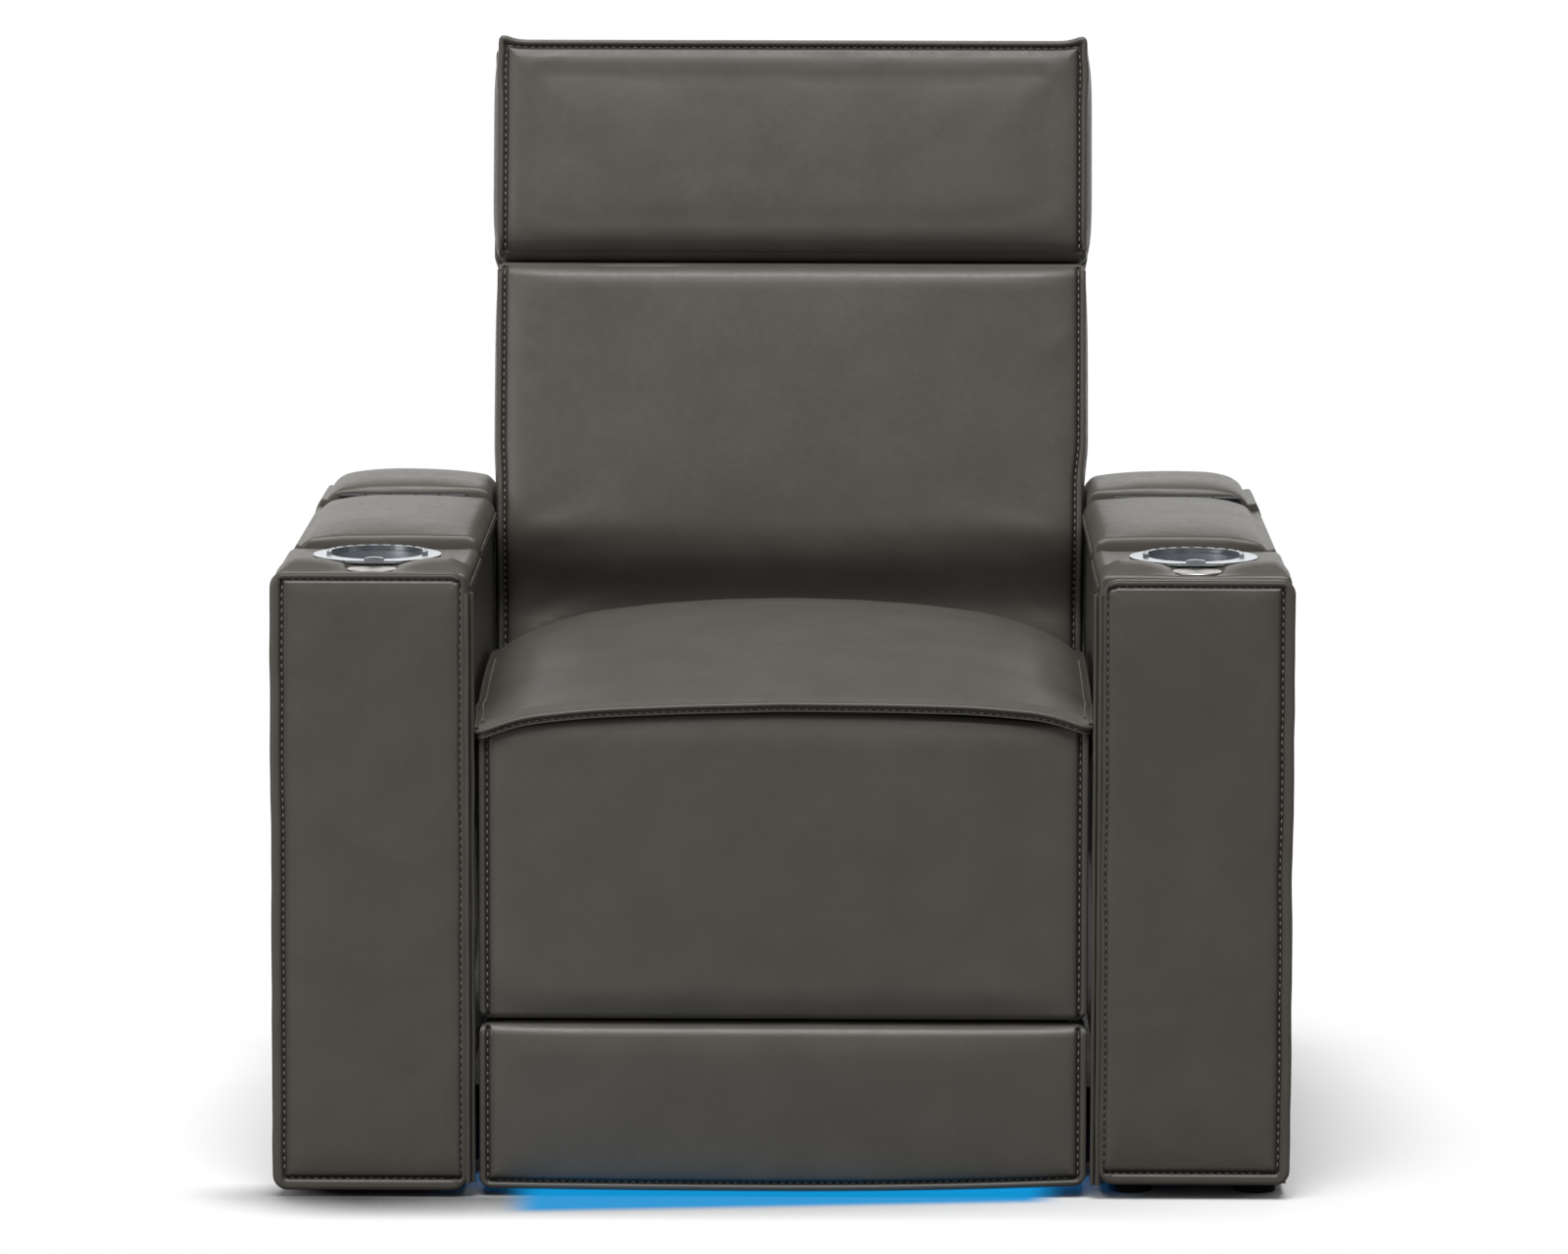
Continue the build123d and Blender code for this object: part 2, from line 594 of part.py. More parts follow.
def headrest_frame():
    u = cushion_depth
    half = head_half - 38
    solid = block(-half, half, u, u + 6, head_base + 44, head_base + head_length - 16)
    for side in (-1, 1):
        for x in (ear_x - 8.5, ear_x + 4.5):
            cheek = rod_x(10, x, x + 4, head_pivot_u, head_pivot_w)
            cheek += slab_x([(head_pivot_u - 8, head_pivot_w + 4), (head_pivot_u + 6, head_pivot_w - 8),
                             (u, head_base + 34), (u, head_base + 84), (head_pivot_u, head_base + 60)],
                            x, x + 4)
            solid += cheek if side > 0 else mirrored(cheek)
        pin = rod_x(5, ear_x - 7, ear_x + 7, head_pivot_u, head_pivot_w)
        solid += pin if side > 0 else mirrored(pin)
    return solid


def headrest_shell():
    x = head_half
    u0 = cushion_depth + 0.5
    top = head_base + head_length
    solid = pillow(-x, x, u0 - 26, back_depth, head_base, top, back=8, top=3, sides=4, corner=12)
    solid -= block(-x + 12, x - 12, u0 - 30, back_depth - 14, head_base + 8, top - 14)
    solid -= block(-x - 5, x + 5, u0 - 30, u0, head_base - 5, top + 5)
    for xm in (-ear_x, ear_x):
        solid -= block(xm - 5, xm + 5, cushion_depth, cushion_depth + 40, head_base - 5, head_base + 30)
    return solid


# ---- assembly ----
parts = {}
for maker in (arm_case, arm_front_pad, arm_top_pad, arm_rear_pad, storage_tub, cup_well, cup_bezel,
              cup_rim, switch_housing, rocker, dock_sleeve, dock_cap, lid_board, lid_pad,
              lid_leaf, lid_fixed_leaf, seat_side_plate):
    shape = maker()
    parts[maker.__name__ + "_right"] = shape
    parts[maker.__name__ + "_left"] = mirrored(shape)

for maker in (base_frame, glide_feet, led_strip, power_supply, glide_screw, seat_rollers,
              seat_frame, seat_springs, seat_cushion, leg_pad_upper, leg_pad_lower, leg_board,
              leg_brackets, leg_crank, leg_rods, leg_gearmotor):
    parts[maker.__name__] = maker()

leaning = Pos(0, back_y, back_z) * Rot(X=-back_lean)
for maker in (back_cushion, back_frame, back_shell, back_springs, headrest_cushion,
              headrest_frame, headrest_shell):
    parts[maker.__name__] = leaning * maker()
parts["back_frame"] += recline_pins()

# the origin is on the floor under the middle of the whole seat
box = Compound(children=[Part(p.wrapped) for p in parts.values()]).bounding_box()
middle = (box.min.Y + box.max.Y) / 2
print("middle", round(middle, 4), "depth", round(box.size.Y, 3), "height", round(box.size.Z, 3))

for name, shape in parts.items():
    export_step(Pos(0, -middle, 0) * shape, "parts/" + name + ".step")
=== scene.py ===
import bpy, bmesh, math
from mathutils import Matrix, Vector, kdtree, noise


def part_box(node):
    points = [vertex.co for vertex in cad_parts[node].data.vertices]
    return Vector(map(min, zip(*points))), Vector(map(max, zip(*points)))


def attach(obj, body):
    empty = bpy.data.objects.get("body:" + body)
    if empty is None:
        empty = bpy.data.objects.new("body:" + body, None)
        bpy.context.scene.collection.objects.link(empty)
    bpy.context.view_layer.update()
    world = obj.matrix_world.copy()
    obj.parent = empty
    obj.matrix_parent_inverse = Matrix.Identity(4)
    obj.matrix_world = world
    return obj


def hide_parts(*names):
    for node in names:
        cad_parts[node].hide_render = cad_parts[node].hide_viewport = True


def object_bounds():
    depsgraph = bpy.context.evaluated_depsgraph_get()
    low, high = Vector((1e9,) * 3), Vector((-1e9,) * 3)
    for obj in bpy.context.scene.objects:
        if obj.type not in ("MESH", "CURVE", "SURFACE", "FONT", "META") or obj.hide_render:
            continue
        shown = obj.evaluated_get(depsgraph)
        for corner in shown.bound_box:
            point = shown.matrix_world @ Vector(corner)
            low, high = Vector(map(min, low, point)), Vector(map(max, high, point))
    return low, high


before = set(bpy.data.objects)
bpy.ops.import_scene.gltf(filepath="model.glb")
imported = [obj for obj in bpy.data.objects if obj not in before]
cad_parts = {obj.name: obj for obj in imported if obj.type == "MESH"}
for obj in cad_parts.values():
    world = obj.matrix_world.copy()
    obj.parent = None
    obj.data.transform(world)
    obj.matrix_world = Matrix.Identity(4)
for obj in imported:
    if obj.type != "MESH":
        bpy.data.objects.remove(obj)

# %% [markdown]
# # A cinema recliner seat
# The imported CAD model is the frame: steel, boards, hinges and drives stay as they are and only get materials.
# The leather parts are plain solids there, so each one is modelled again here as upholstery:
# foam under a leather cover, sewn from panels with a piped seam and a row of topstitch beside it.
# Lengths are written in millimetres and multiplied by MM where they meet Blender's metres.

# %% The frame's box and a few shared lengths
CAD_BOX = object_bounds()
MM = 0.001
BACK_LEAN = math.radians(13.0)
print("CAD box", CAD_BOX)

# %% [markdown]
# ## Colours and node helpers
# Colours are written as sRGB hex values and turned to linear once. One small function adds a node, sets it up
# and links it, so that each material reads as a short recipe.

# %% Helpers for colours and nodes
def srgb(hex_text):
    # the two branches are the sRGB standard's own curve
    values = [int(hex_text[i:i + 2], 16) / 255 for i in (1, 3, 5)]
    return tuple(v / 12.92 if v <= 0.04045 else ((v + 0.055) / 1.055) ** 2.4 for v in values) + (1.0,)


def feed(node, inputs):
    # a node is linked by its first live output and a socket by itself; anything else is the input's own value
    for name, value in inputs.items():
        if isinstance(value, bpy.types.Node):
            value = next(o for o in value.outputs if o.enabled)
        if isinstance(value, bpy.types.NodeSocket):
            node.id_data.links.new(value, node.inputs[name])
        else:
            node.inputs[name].default_value = value


def add(tree, kind, inputs, **settings):
    node = tree.nodes.new("ShaderNode" + kind)
    for name, value in settings.items():
        setattr(node, name, value)
    feed(node, inputs)
    return node


def new_material(name):
    material = bpy.data.materials.new(name)
    material.use_nodes = True
    tree = material.node_tree
    tree.nodes.clear()
    shader = add(tree, "BsdfPrincipled", {})
    output = add(tree, "OutputMaterial", {"Surface": shader})
    coords = add(tree, "TexCoord", {}).outputs["Object"]
    return material, tree, shader, output, coords


print("mid grey is", srgb("#808080"))

# %% [markdown]
# ## Leather
# The cover is corrected-grain upholstery leather in a taupe grey. It is nearly smooth: embossed pores about
# 1 mm apart, a slow unevenness where the hide stretches over the foam, and a semi-matt finish coat.
# Two layers of bump, pores and slow waves, give that; colour varies by only a few percent. The sewn pads carry a
# vertex attribute that is 1 in a seam's channel; it darkens the colour there as painted shade, where little light
# gets in.

# %% Leather material
PORE = 1.3 * MM         # embossed pores, a little coarser than real ones so that they show
MOTTLE = 7 * MM         # cloudiness of the finish coat
WAVE = 60 * MM          # slow waves of the hide over foam
# painted shade in the seam channels
CREASE_SHADE = 0.3      # share of the colour that is left in the bottom of a seam
NOISE_SPAN = {"From Min": 0.3, "From Max": 0.7}     # where nearly all of a noise's values lie
TINT = {"data_type": "RGBA", "blend_type": "MULTIPLY"}


def leather(name, deep, light, rough=0.44):
    material, tree, shader, _, coords = new_material(name)
    slow = add(tree, "TexNoise", {"Vector": coords, "Scale": 1 / WAVE, "Detail": 3.0})
    mottled = add(tree, "TexNoise", {"Vector": coords, "Scale": 1 / MOTTLE, "Detail": 2.0})
    both = add(tree, "Math", {0: mottled, 1: 0.3, 2: slow}, operation="MULTIPLY_ADD")
    spread = add(tree, "MapRange", {"Value": both, "From Min": 0.45, "From Max": 0.9})
    tint = add(tree, "Mix", {0: spread, 6: srgb(deep), 7: srgb(light)}, data_type="RGBA")
    # painted shade: in each seam's channel the colour is darkened down to CREASE_SHADE of itself
    seam = add(tree, "Attribute", {}, attribute_name="seam_shade_mask").outputs["Fac"]
    dark = add(tree, "MapRange", {"Value": seam, "To Min": 1.0, "To Max": CREASE_SHADE})
    seam_shaded = add(tree, "Mix", {0: 1.0, 6: tint, 7: dark}, **TINT)
    gloss = add(tree, "MapRange", {"Value": mottled, **NOISE_SPAN, "To Min": rough - 0.03, "To Max": rough + 0.04})
    pores = add(tree, "TexVoronoi", {"Vector": coords, "Scale": 1 / PORE, "Smoothness": 0.6}, feature="SMOOTH_F1")
    fine = add(tree, "Bump", {"Height": pores.outputs["Distance"], "Strength": 0.16, "Distance": 0.12 * MM})
    wavy = add(tree, "Bump", {"Height": slow, "Strength": 0.3, "Distance": 1.2 * MM, "Normal": fine})
    feed(shader, {"Base Color": seam_shaded, "Roughness": gloss, "Normal": wavy, "IOR": 1.46})
    return material


PANEL_LEATHER = leather("leather_panels", "#514d47", "#57534c")
CUSHION_LEATHER = leather("leather_cushions", "#53504a", "#5a5650")
SEAM_LEATHER = leather("leather_piping", "#4c4842", "#544f49", rough=0.4)
print("leather", [m.name for m in (PANEL_LEATHER, CUSHION_LEATHER, SEAM_LEATHER)])

# %% [markdown]
# ## Thread, metals, plastics and lining
# Bonded polyester thread has a slight gloss. The cup plate is bead-blasted and satin-anodised aluminium, and the
# cup brushed steel. The mechanism is powder-coated and zinc-plated steel. The boards of lids and leg rest are
# covered in black cambric. None is one flat tone: a wide, faint noise varies colour and gloss as handling does.

# %% Hard materials
HANDLING = 45 * MM      # width of the faint patches that handling leaves
BRUSH_LINE = 0.35 * MM
PLASTIC_IOR = 1.5


def plain(name, colour, rough, metallic=0.0, grain=0.0, size=1.0 * MM):
    material, tree, shader, _, coords = new_material(name)
    speck = add(tree, "TexNoise", {"Vector": coords, "Scale": 1 / size, "Detail": 2.0})
    wide = add(tree, "TexNoise", {"Vector": coords, "Scale": 1 / HANDLING, "Detail": 2.0})
    tone = add(tree, "MapRange", {"Value": wide, **NOISE_SPAN, "To Min": 0.88, "To Max": 1.06})
    tint = add(tree, "Mix", {0: 1.0, 6: srgb(colour), 7: tone}, **TINT)
    gloss = add(tree, "MapRange", {"Value": wide, **NOISE_SPAN, "To Min": rough - 0.04, "To Max": rough + 0.05})
    feed(shader, {"Base Color": tint, "Roughness": gloss, "Metallic": metallic})
    if grain:
        feed(shader, {"Normal": add(tree, "Bump", {"Height": speck, "Strength": grain, "Distance": 0.1 * MM})})
    if not metallic:
        feed(shader, {"IOR": PLASTIC_IOR})
    return material


def brushed(name, colour, rough, stretch):
    # brush marks: noise squeezed across the marks and drawn out along them
    material, tree, shader, _, coords = new_material(name)
    mapping = add(tree, "Mapping", {"Vector": coords, "Scale": stretch})
    marks = add(tree, "TexNoise", {"Vector": mapping, "Scale": 1 / BRUSH_LINE, "Detail": 2.0})
    tone = add(tree, "MapRange", {"Value": marks, **NOISE_SPAN, "To Min": 0.82, "To Max": 1.05})
    tint = add(tree, "Mix", {0: 1.0, 6: srgb(colour), 7: tone}, **TINT)
    bump = add(tree, "Bump", {"Height": marks, "Strength": 0.25, "Distance": 0.05 * MM})
    feed(shader, {"Base Color": tint, "Normal": bump, "Metallic": 1.0, "Roughness": rough})
    return material


THREAD = plain("thread_polyester", "#857d72", 0.5, grain=0.3, size=0.5 * MM)
SATIN = plain("aluminium_satin", "#c2c7cc", 0.28, metallic=1.0, grain=0.15, size=0.3 * MM)
CUP_STEEL = brushed("steel_brushed", "#cdd1d6", 0.42, (1.0, 1.0, 22.0))
ZINC = plain("steel_zinc_plated", "#b4b4ae", 0.34, metallic=1.0, grain=0.2)
BLACK_STEEL = plain("steel_powder_coated", "#1c1c1e", 0.5, grain=0.6, size=0.5 * MM)
BLACK_ABS = plain("plastic_abs_black", "#191a1b", 0.45, grain=0.4, size=0.6 * MM)
NYLON = plain("plastic_nylon", "#d8d5cb", 0.42, grain=0.2)
RUBBER = plain("rubber_foot", "#161616", 0.75, grain=0.6)
# cambric is spunbonded polypropylene, stapled over the boards: matt, with its nap drawn 1 mm wide
LINING = plain("cambric_black", "#1d1d1e", 0.85, grain=0.5)
print("hard materials", [m.name for m in bpy.data.materials if "leather" not in m.name])

# %% [markdown]
# The round cap was faced on a lathe: its tool marks are circles, so a light above it shows as a bright fan.
# Rings come from the distance to the cap's own axis, and the fan from anisotropy whose tangent runs along them.
# The light strip's diffuser is frosted plastic over a row of diodes.

# %% Turned steel for the caps and the lit diffuser
TURN_MARK = 0.5 * MM    # feed of the lathe tool, drawn coarse enough to show
DIODE_PITCH = 16 * MM


def turned(name, centre):
    material, tree, shader, _, coords = new_material(name)
    mapping = add(tree, "Mapping", {"Vector": coords, "Location": (-centre[0], -centre[1], 0.0),
                                    "Scale": (1.0, 1.0, 0.0)}, vector_type="POINT")
    radius = add(tree, "VectorMath", {0: mapping}, operation="LENGTH").outputs["Value"]
    rings = add(tree, "TexNoise", {"W": radius, "Scale": 1 / TURN_MARK, "Detail": 2.0}, noise_dimensions="1D")
    tone = add(tree, "MapRange", {"Value": rings, **NOISE_SPAN, "To Min": 0.75, "To Max": 1.05})
    tint = add(tree, "Mix", {0: 1.0, 6: srgb("#cdcac4"), 7: tone}, **TINT)
    around = add(tree, "VectorMath", {0: mapping, 1: (0.0, 0.0, 1.0)}, operation="CROSS_PRODUCT")
    feed(shader, {"Base Color": tint, "Tangent": around, "Metallic": 1.0, "Roughness": 0.3, "Anisotropic": 0.75})
    return material


def glow(name, colour, strength):
    material, tree, shader, _, coords = new_material(name)
    dots = add(tree, "TexNoise", {"Vector": coords, "Scale": 1 / DIODE_PITCH})
    lit = add(tree, "MapRange", {"Value": dots, "To Min": strength * 0.8, "To Max": strength * 1.2})
    feed(shader, {"Base Color": srgb(colour), "Emission Color": srgb(colour), "Emission Strength": lit,
                  "Roughness": 0.4})
    return material


LED = glow("led_diffuser", "#1e9bff", 4.0)
print("light strip's material", LED.name)

# %% [markdown]
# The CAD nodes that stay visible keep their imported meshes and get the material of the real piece. The caps need
# one each, because their rings are centred on their own axis.

# %% Materials on the CAD nodes that stay
# a star stands for left and right
DRESSING = ((BLACK_STEEL, "base_frame seat_frame seat_side_plate_* leg_brackets back_frame headrest_frame "
                          "lid_leaf_* lid_fixed_leaf_*"),
            (ZINC, "glide_screw seat_springs leg_crank leg_rods back_springs"),
            (BLACK_ABS, "power_supply leg_gearmotor dock_sleeve_* switch_housing_* storage_tub_*"),
            (SATIN, "cup_bezel_* cup_rim_* rocker_*"), (CUP_STEEL, "cup_well_*"), (LINING, "leg_board lid_board_*"),
            (RUBBER, "glide_feet"), (NYLON, "seat_rollers"), (LED, "led_strip"))
dressed = {}
for side in ("left", "right"):
    for material, names in DRESSING:
        dressed.update((name.replace("*", side), material) for name in names.split())
    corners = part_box("dock_cap_" + side)
    dressed["dock_cap_" + side] = turned("steel_turned_" + side, (Vector(corners[0]) + Vector(corners[1])) / 2)
for node, material in dressed.items():
    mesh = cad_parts[node].data
    mesh.materials.clear()
    mesh.materials.append(material)
print("dressed", len(dressed), "CAD nodes")

# %% [markdown]
# ## Foam blocks
# Every pad starts as a cube cut into a grid. The grid lines stand close together near the edges, where the seams
# are sewn. Then the block is rounded: points in a corner slide onto a quarter circle.

# %% A block with rounded edges
def stations(a, b, coarse, fine, margin):
    # grid lines from a to b, with fine steps over a margin at both ends
    if b - a < 2.5 * margin:
        count = max(2, round((b - a) / coarse))
        return [a + (b - a) * i / count for i in range(count + 1)]
    near = [margin * i / round(margin / fine) for i in range(round(margin / fine))]
    count = max(1, round((b - a - 2 * margin) / coarse))
    middle = [a + margin + (b - a - 2 * margin) * i / count for i in range(count + 1)]
    return [a + t for t in near] + middle + [b - t for t in reversed(near)]


def foam_block(lo, hi, step, fine=1.4, margin=18.0):
    # lo and hi in metres; step, fine and margin in mm
    lines = [stations(lo[i], hi[i], step * MM, fine * MM, margin * MM) for i in range(3)]
    bm = bmesh.new()
    bmesh.ops.create_cube(bm, size=2.0)
    for axis in range(3):
        along = [e for e in bm.edges if abs((e.verts[0].co - e.verts[1].co)[axis]) > 1.9]    # still uncut
        bmesh.ops.subdivide_edges(bm, edges=along, cuts=len(lines[axis]) - 2, use_grid_fill=True)
    for v in bm.verts:
        v.co = [lines[i][round((v.co[i] + 1) / 2 * (len(lines[i]) - 1))] for i in range(3)]
    return bm


def round_edges(bm, lo, hi, a, b, radii):
    # the four edges where the sides of axes a and b meet; radii in mm, for low-low, low-high, high-low, high-high
    radii = radii if isinstance(radii, (tuple, list)) else (radii,) * 4
    for v in bm.verts:
        upper_a, upper_b = v.co[a] > (lo[a] + hi[a]) / 2, v.co[b] > (lo[b] + hi[b]) / 2
        r = radii[2 * upper_a + upper_b] * MM
        ca = hi[a] - r if upper_a else lo[a] + r
        cb = hi[b] - r if upper_b else lo[b] + r
        qa = max(v.co[a] - ca, 0) if upper_a else min(v.co[a] - ca, 0)
        qb = max(v.co[b] - cb, 0) if upper_b else min(v.co[b] - cb, 0)
        if qa and qb:
            k = max(abs(qa), abs(qb)) / math.hypot(qa, qb)
            v.co[a], v.co[b] = ca + qa * k, cb + qb * k


def smooth01(t):
    t = min(max(t, 0.0), 1.0)
    return t * t * (3 - 2 * t)


def place(name, mesh, material, body):
    # one smooth-shaded object that rides on its body
    mesh.materials.clear()
    mesh.materials.append(material)
    for p in mesh.polygons:
        p.use_smooth = True
    piece = bpy.data.objects.new(name, mesh)
    bpy.context.scene.collection.objects.link(piece)
    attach(piece, body)
    return piece


def finish_piece(name, bm, material, body, node=None, matrix=None):
    if matrix is not None:
        bmesh.ops.transform(bm, matrix=matrix, verts=bm.verts)
    bmesh.ops.recalc_face_normals(bm, faces=bm.faces)
    mesh = bpy.data.meshes.new(name)
    bm.to_mesh(mesh)
    bm.free()
    piece = place(name, mesh, material, body)
    if node:
        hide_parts(node)
    print("made", name, len(mesh.polygons), "faces")
    return piece


print("grid lines over 100 mm:", stations(0, 100, 20, 5, 15))

# %% [markdown]
# ## Seams
# A seam is a path of evenly spaced points. It serves twice: a thin tube of piping lies on it where the panels
# meet, and a row of stitches runs along a second path beside it. Stitches are 5 mm long with 2.4 mm between
# them, as a heavy upholstery machine sews.

# %% Seam paths, piping and stitches
PATH_STEP = 3 * MM
CORNER_STEP = 15        # degrees between the points of a rounded corner
STITCH = 5.0 * MM
STITCH_GAP = 2.4 * MM
STITCH_THICK = 0.75 * MM


def outline(u0, u1, v0, v1, radius):
    # points around a rounded rectangle, counter-clockwise
    points = []
    for u, v, start in ((u1 - radius, v0 + radius, -90), (u1 - radius, v1 - radius, 0),
                        (u0 + radius, v1 - radius, 90), (u0 + radius, v0 + radius, 180)):
        for i in range(7):
            angle = math.radians(start + CORNER_STEP * i)
            points.append(Vector((u + radius * math.cos(angle), v + radius * math.sin(angle), 0)))
    return resample(points, PATH_STEP, closed=True)


def resample(points, step, closed=False):
    # the same line with its points evenly spaced
    pts = list(points) + ([points[0]] if closed else [])
    total = sum((b - a).length for a, b in zip(pts, pts[1:]))
    count = max(2, round(total / step))
    out, walked, i = [], 0.0, 0
    for n in range(count + (0 if closed else 1)):
        want = total * n / count
        while i < len(pts) - 2 and walked + (pts[i + 1] - pts[i]).length < want:
            walked += (pts[i + 1] - pts[i]).length
            i += 1
        seg = pts[i + 1] - pts[i]
        t = (want - walked) / seg.length if seg.length else 0.0
        out.append(pts[i] + seg * min(max(t, 0.0), 1.0))
    return out


def tube(name, points, radius, body, closed=False):
    # a round cord along the points, as a mesh
    curve = bpy.data.curves.new(name, "CURVE")
    curve.dimensions = "3D"
    curve.bevel_depth = radius
    curve.bevel_resolution = 2
    curve.use_fill_caps = True
    spline = curve.splines.new("POLY")
    spline.points.add(len(points) - 1)
    for i, p in enumerate(points):
        spline.points[i].co = (*p, 1.0)
    spline.use_cyclic_u = closed
    holder = bpy.data.objects.new(name + "_line", curve)
    bpy.context.scene.collection.objects.link(holder)
    mesh = bpy.data.meshes.new_from_object(holder)
    mesh.name = name
    bpy.data.objects.remove(holder)
    place(name, mesh, SEAM_LEATHER, body)


def stitches(name, rows, body, closed=False):
    # each stitch is a small stretched ball that follows the row and sits half sunk in the cover
    bm = bmesh.new()
    for path in rows:
        points = [p for p, n in path]
        spots = resample(points, STITCH + STITCH_GAP, closed)
        tree = kdtree.KDTree(len(path))
        for i, (p, n) in enumerate(path):
            tree.insert(p, i)
        tree.balance()
        for a, b in zip(spots, spots[1:]):
            normal = path[tree.find(a)[1]][1]
            along = (b - a).normalized()
            side = normal.cross(along).normalized()
            up = along.cross(side)
            turn = Matrix((along, side, up)).transposed().to_4x4()
            size = Matrix.Diagonal((STITCH / 2, STITCH_THICK, STITCH_THICK, 1))
            bmesh.ops.create_uvsphere(bm, u_segments=6, v_segments=5, radius=1.0,
                                      matrix=Matrix.Translation((a + b) / 2) @ turn @ size)
    finish_piece(name, bm, THREAD, body)


print("a stitch every", round((STITCH + STITCH_GAP) / MM, 1), "mm")

# %% [markdown]
# ## Where things are
# Places are given by their depth behind the arms' front, the box's nearest side. The back and headrest lean
# 13 degrees, so they are made upright and turned by one matrix.

# %% Two small coordinate helpers
FRONT = CAD_BOX[0][1]


def at(x, depth, z):
    return Vector((x * MM, FRONT + depth * MM, z * MM))


LEAN = Matrix.Translation(at(0, 545, 410)) @ Matrix.Rotation(-BACK_LEAN, 4, "X")
SIDES = (("left", -1), ("right", 1))


def box_on(sign, x0, x1, y0, y1, z0, z1):
    # a box on one side of the seat; x0 and x1 are distances from the middle plane
    xs = sorted((sign * x0, sign * x1))
    return at(xs[0], y0, z0), at(xs[1], y1, z1)


print("the back pivots at", LEAN.translation)

# %% [markdown]
# ## How a sewn face is shaped
# Every front panel ends in the same way. The cover turns over a thin lip; a few millimetres inside it the
# topstitch pulls a narrow channel into the foam; beyond the channel the foam swells out again, quickly at first
# and then flat. One profile function gives all three, measured from the rim inward. Edges without a seam roll
# over. Seams are a dictionary of the sewn sides, with how many times closer to the edge their stitches run.

# %% Sewn faces
LIP = 2.2               # mm, radius of the cover's turn at the rim
CHANNEL = 1.7           # mm, half the width of the pulled-in channel
UNSEWN = 1.0            # metres: farther than any edge


def rim_profile(d, width, swell, reach, depth):
    lip = LIP * (1 - math.sqrt(max(0.0, 1 - (1 - min(d / LIP, 1.0)) ** 2)))
    channel = depth * math.exp(-((d - width) / CHANNEL) ** 2)
    return lip + channel - swell * (1 - math.exp(-max(0.0, d - width) / reach))


def rim_distance(co, lo, hi, seams):
    # mm from the nearest sewn edge of the front face, and from the nearest edge that only rolls over
    gaps = {"left": co.x - lo.x, "right": hi.x - co.x, "bottom": co.z - lo.z, "top": hi.z - co.z}
    sewn = min([g * seams[side] for side, g in gaps.items() if side in seams], default=UNSEWN)
    rolled = min([g for side, g in gaps.items() if side not in seams], default=UNSEWN)
    return sewn / MM, rolled / MM


def sewn_block(lo, hi, front, bulge, seams, width, reach, roll, corner, depth, ease):
    # lo and hi enclose the whole pad in mm; front and bulge are how far its face and sides swell beyond the rim,
    # width and depth are the channel's place and depth, and ease is where a rolled edge has come up to the face
    lo = Vector((lo[0] + bulge, lo[1] + front, lo[2])) * MM
    hi = Vector((hi[0] - bulge, hi[1], hi[2])) * MM
    bm = foam_block(lo, hi, 7)
    mid, half = (lo + hi) / 2, (hi - lo) / 2
    for v in bm.verts:
        s = [(v.co[i] - mid[i]) / half[i] for i in range(3)]
        if v.co.y < lo.y + 1e-6:
            sewn, rolled = rim_distance(v.co, lo, hi, seams)
            soft = 1 - (1 - min(rolled / ease, 1.0)) ** 2
            v.co.y += rim_profile(sewn, width, front * soft, reach, depth) * MM
        if abs(s[0]) > 0.999:
            along = 1 - abs(s[2]) ** 6
            v.co.x += math.copysign(bulge * MM * (1 - max(-s[1], s[1]) ** 2) * along, s[0])
    round_edges(bm, lo, hi, 1, 2, [1.5 if side in seams else roll for side in ("bottom", "top")] + [10, 10])
    round_edges(bm, lo, hi, 0, 2, corner)
    round_edges(bm, lo, hi, 0, 1, (0.1, 8, 0.1, 8))
    return bm, lo, hi


def lay(points, y, matrix, warp):
    # flat (u, v) points are laid on the plane y, warped and turned; the result is (point, normal) pairs
    normal = matrix.to_3x3() @ Vector((0, -1, 0))
    return [(matrix @ warp(Vector((p.x, y, p.y))), normal) for p in points]


def arch_line(u0, u1, v0, v1, radius):
    # up the left side, across the top and down the right side
    turn = [math.radians(CORNER_STEP * i) for i in range(7)]
    points = [Vector((u0, v0, 0))]
    points += [Vector((u0 + radius * (1 - math.cos(a)), v1 - radius * (1 - math.sin(a)), 0)) for a in turn]
    points += [Vector((u1 - radius * (1 - math.sin(a)), v1 - radius * (1 - math.cos(a)), 0)) for a in turn]
    return resample(points + [Vector((u1, v0, 0))], PATH_STEP)


def side_lines(u0, u1, v0, v1):
    return [resample([Vector((u, v0, 0)), Vector((u, v1, 0))], PATH_STEP) for u in (u0, u1)]


print("a channel is", round(rim_profile(7, 7, 9, 30, 4.4), 1), "mm deep")

# %% [markdown]
# ## Blown up like a cover over foam
# The cover is cloth held along its seams, and foam presses it out from inside. A short cloth simulation with
# inner pressure gives that: the seam zones are pinned, the cover is cut 0.2 % small so that it stays taut, and
# thick hide resists bending, so no sharp wrinkles form. No point may move farther than a cap, so the pad keeps
# its measured size. Nothing in it is random, so it gives the same cover every time.

# %% Cloth simulation of a cover
CLOTH_FRAMES = 20       # the cover has come to rest by then
CLOTH_CAP = 3           # mm
CLOTH_SHRINK = 0.002
HIDE = {"quality": 5, "mass": 0.25, "tension_stiffness": 18, "compression_stiffness": 18, "shear_stiffness": 6,
        "bending_stiffness": 10, "use_pressure": True, "shrink_min": CLOTH_SHRINK}


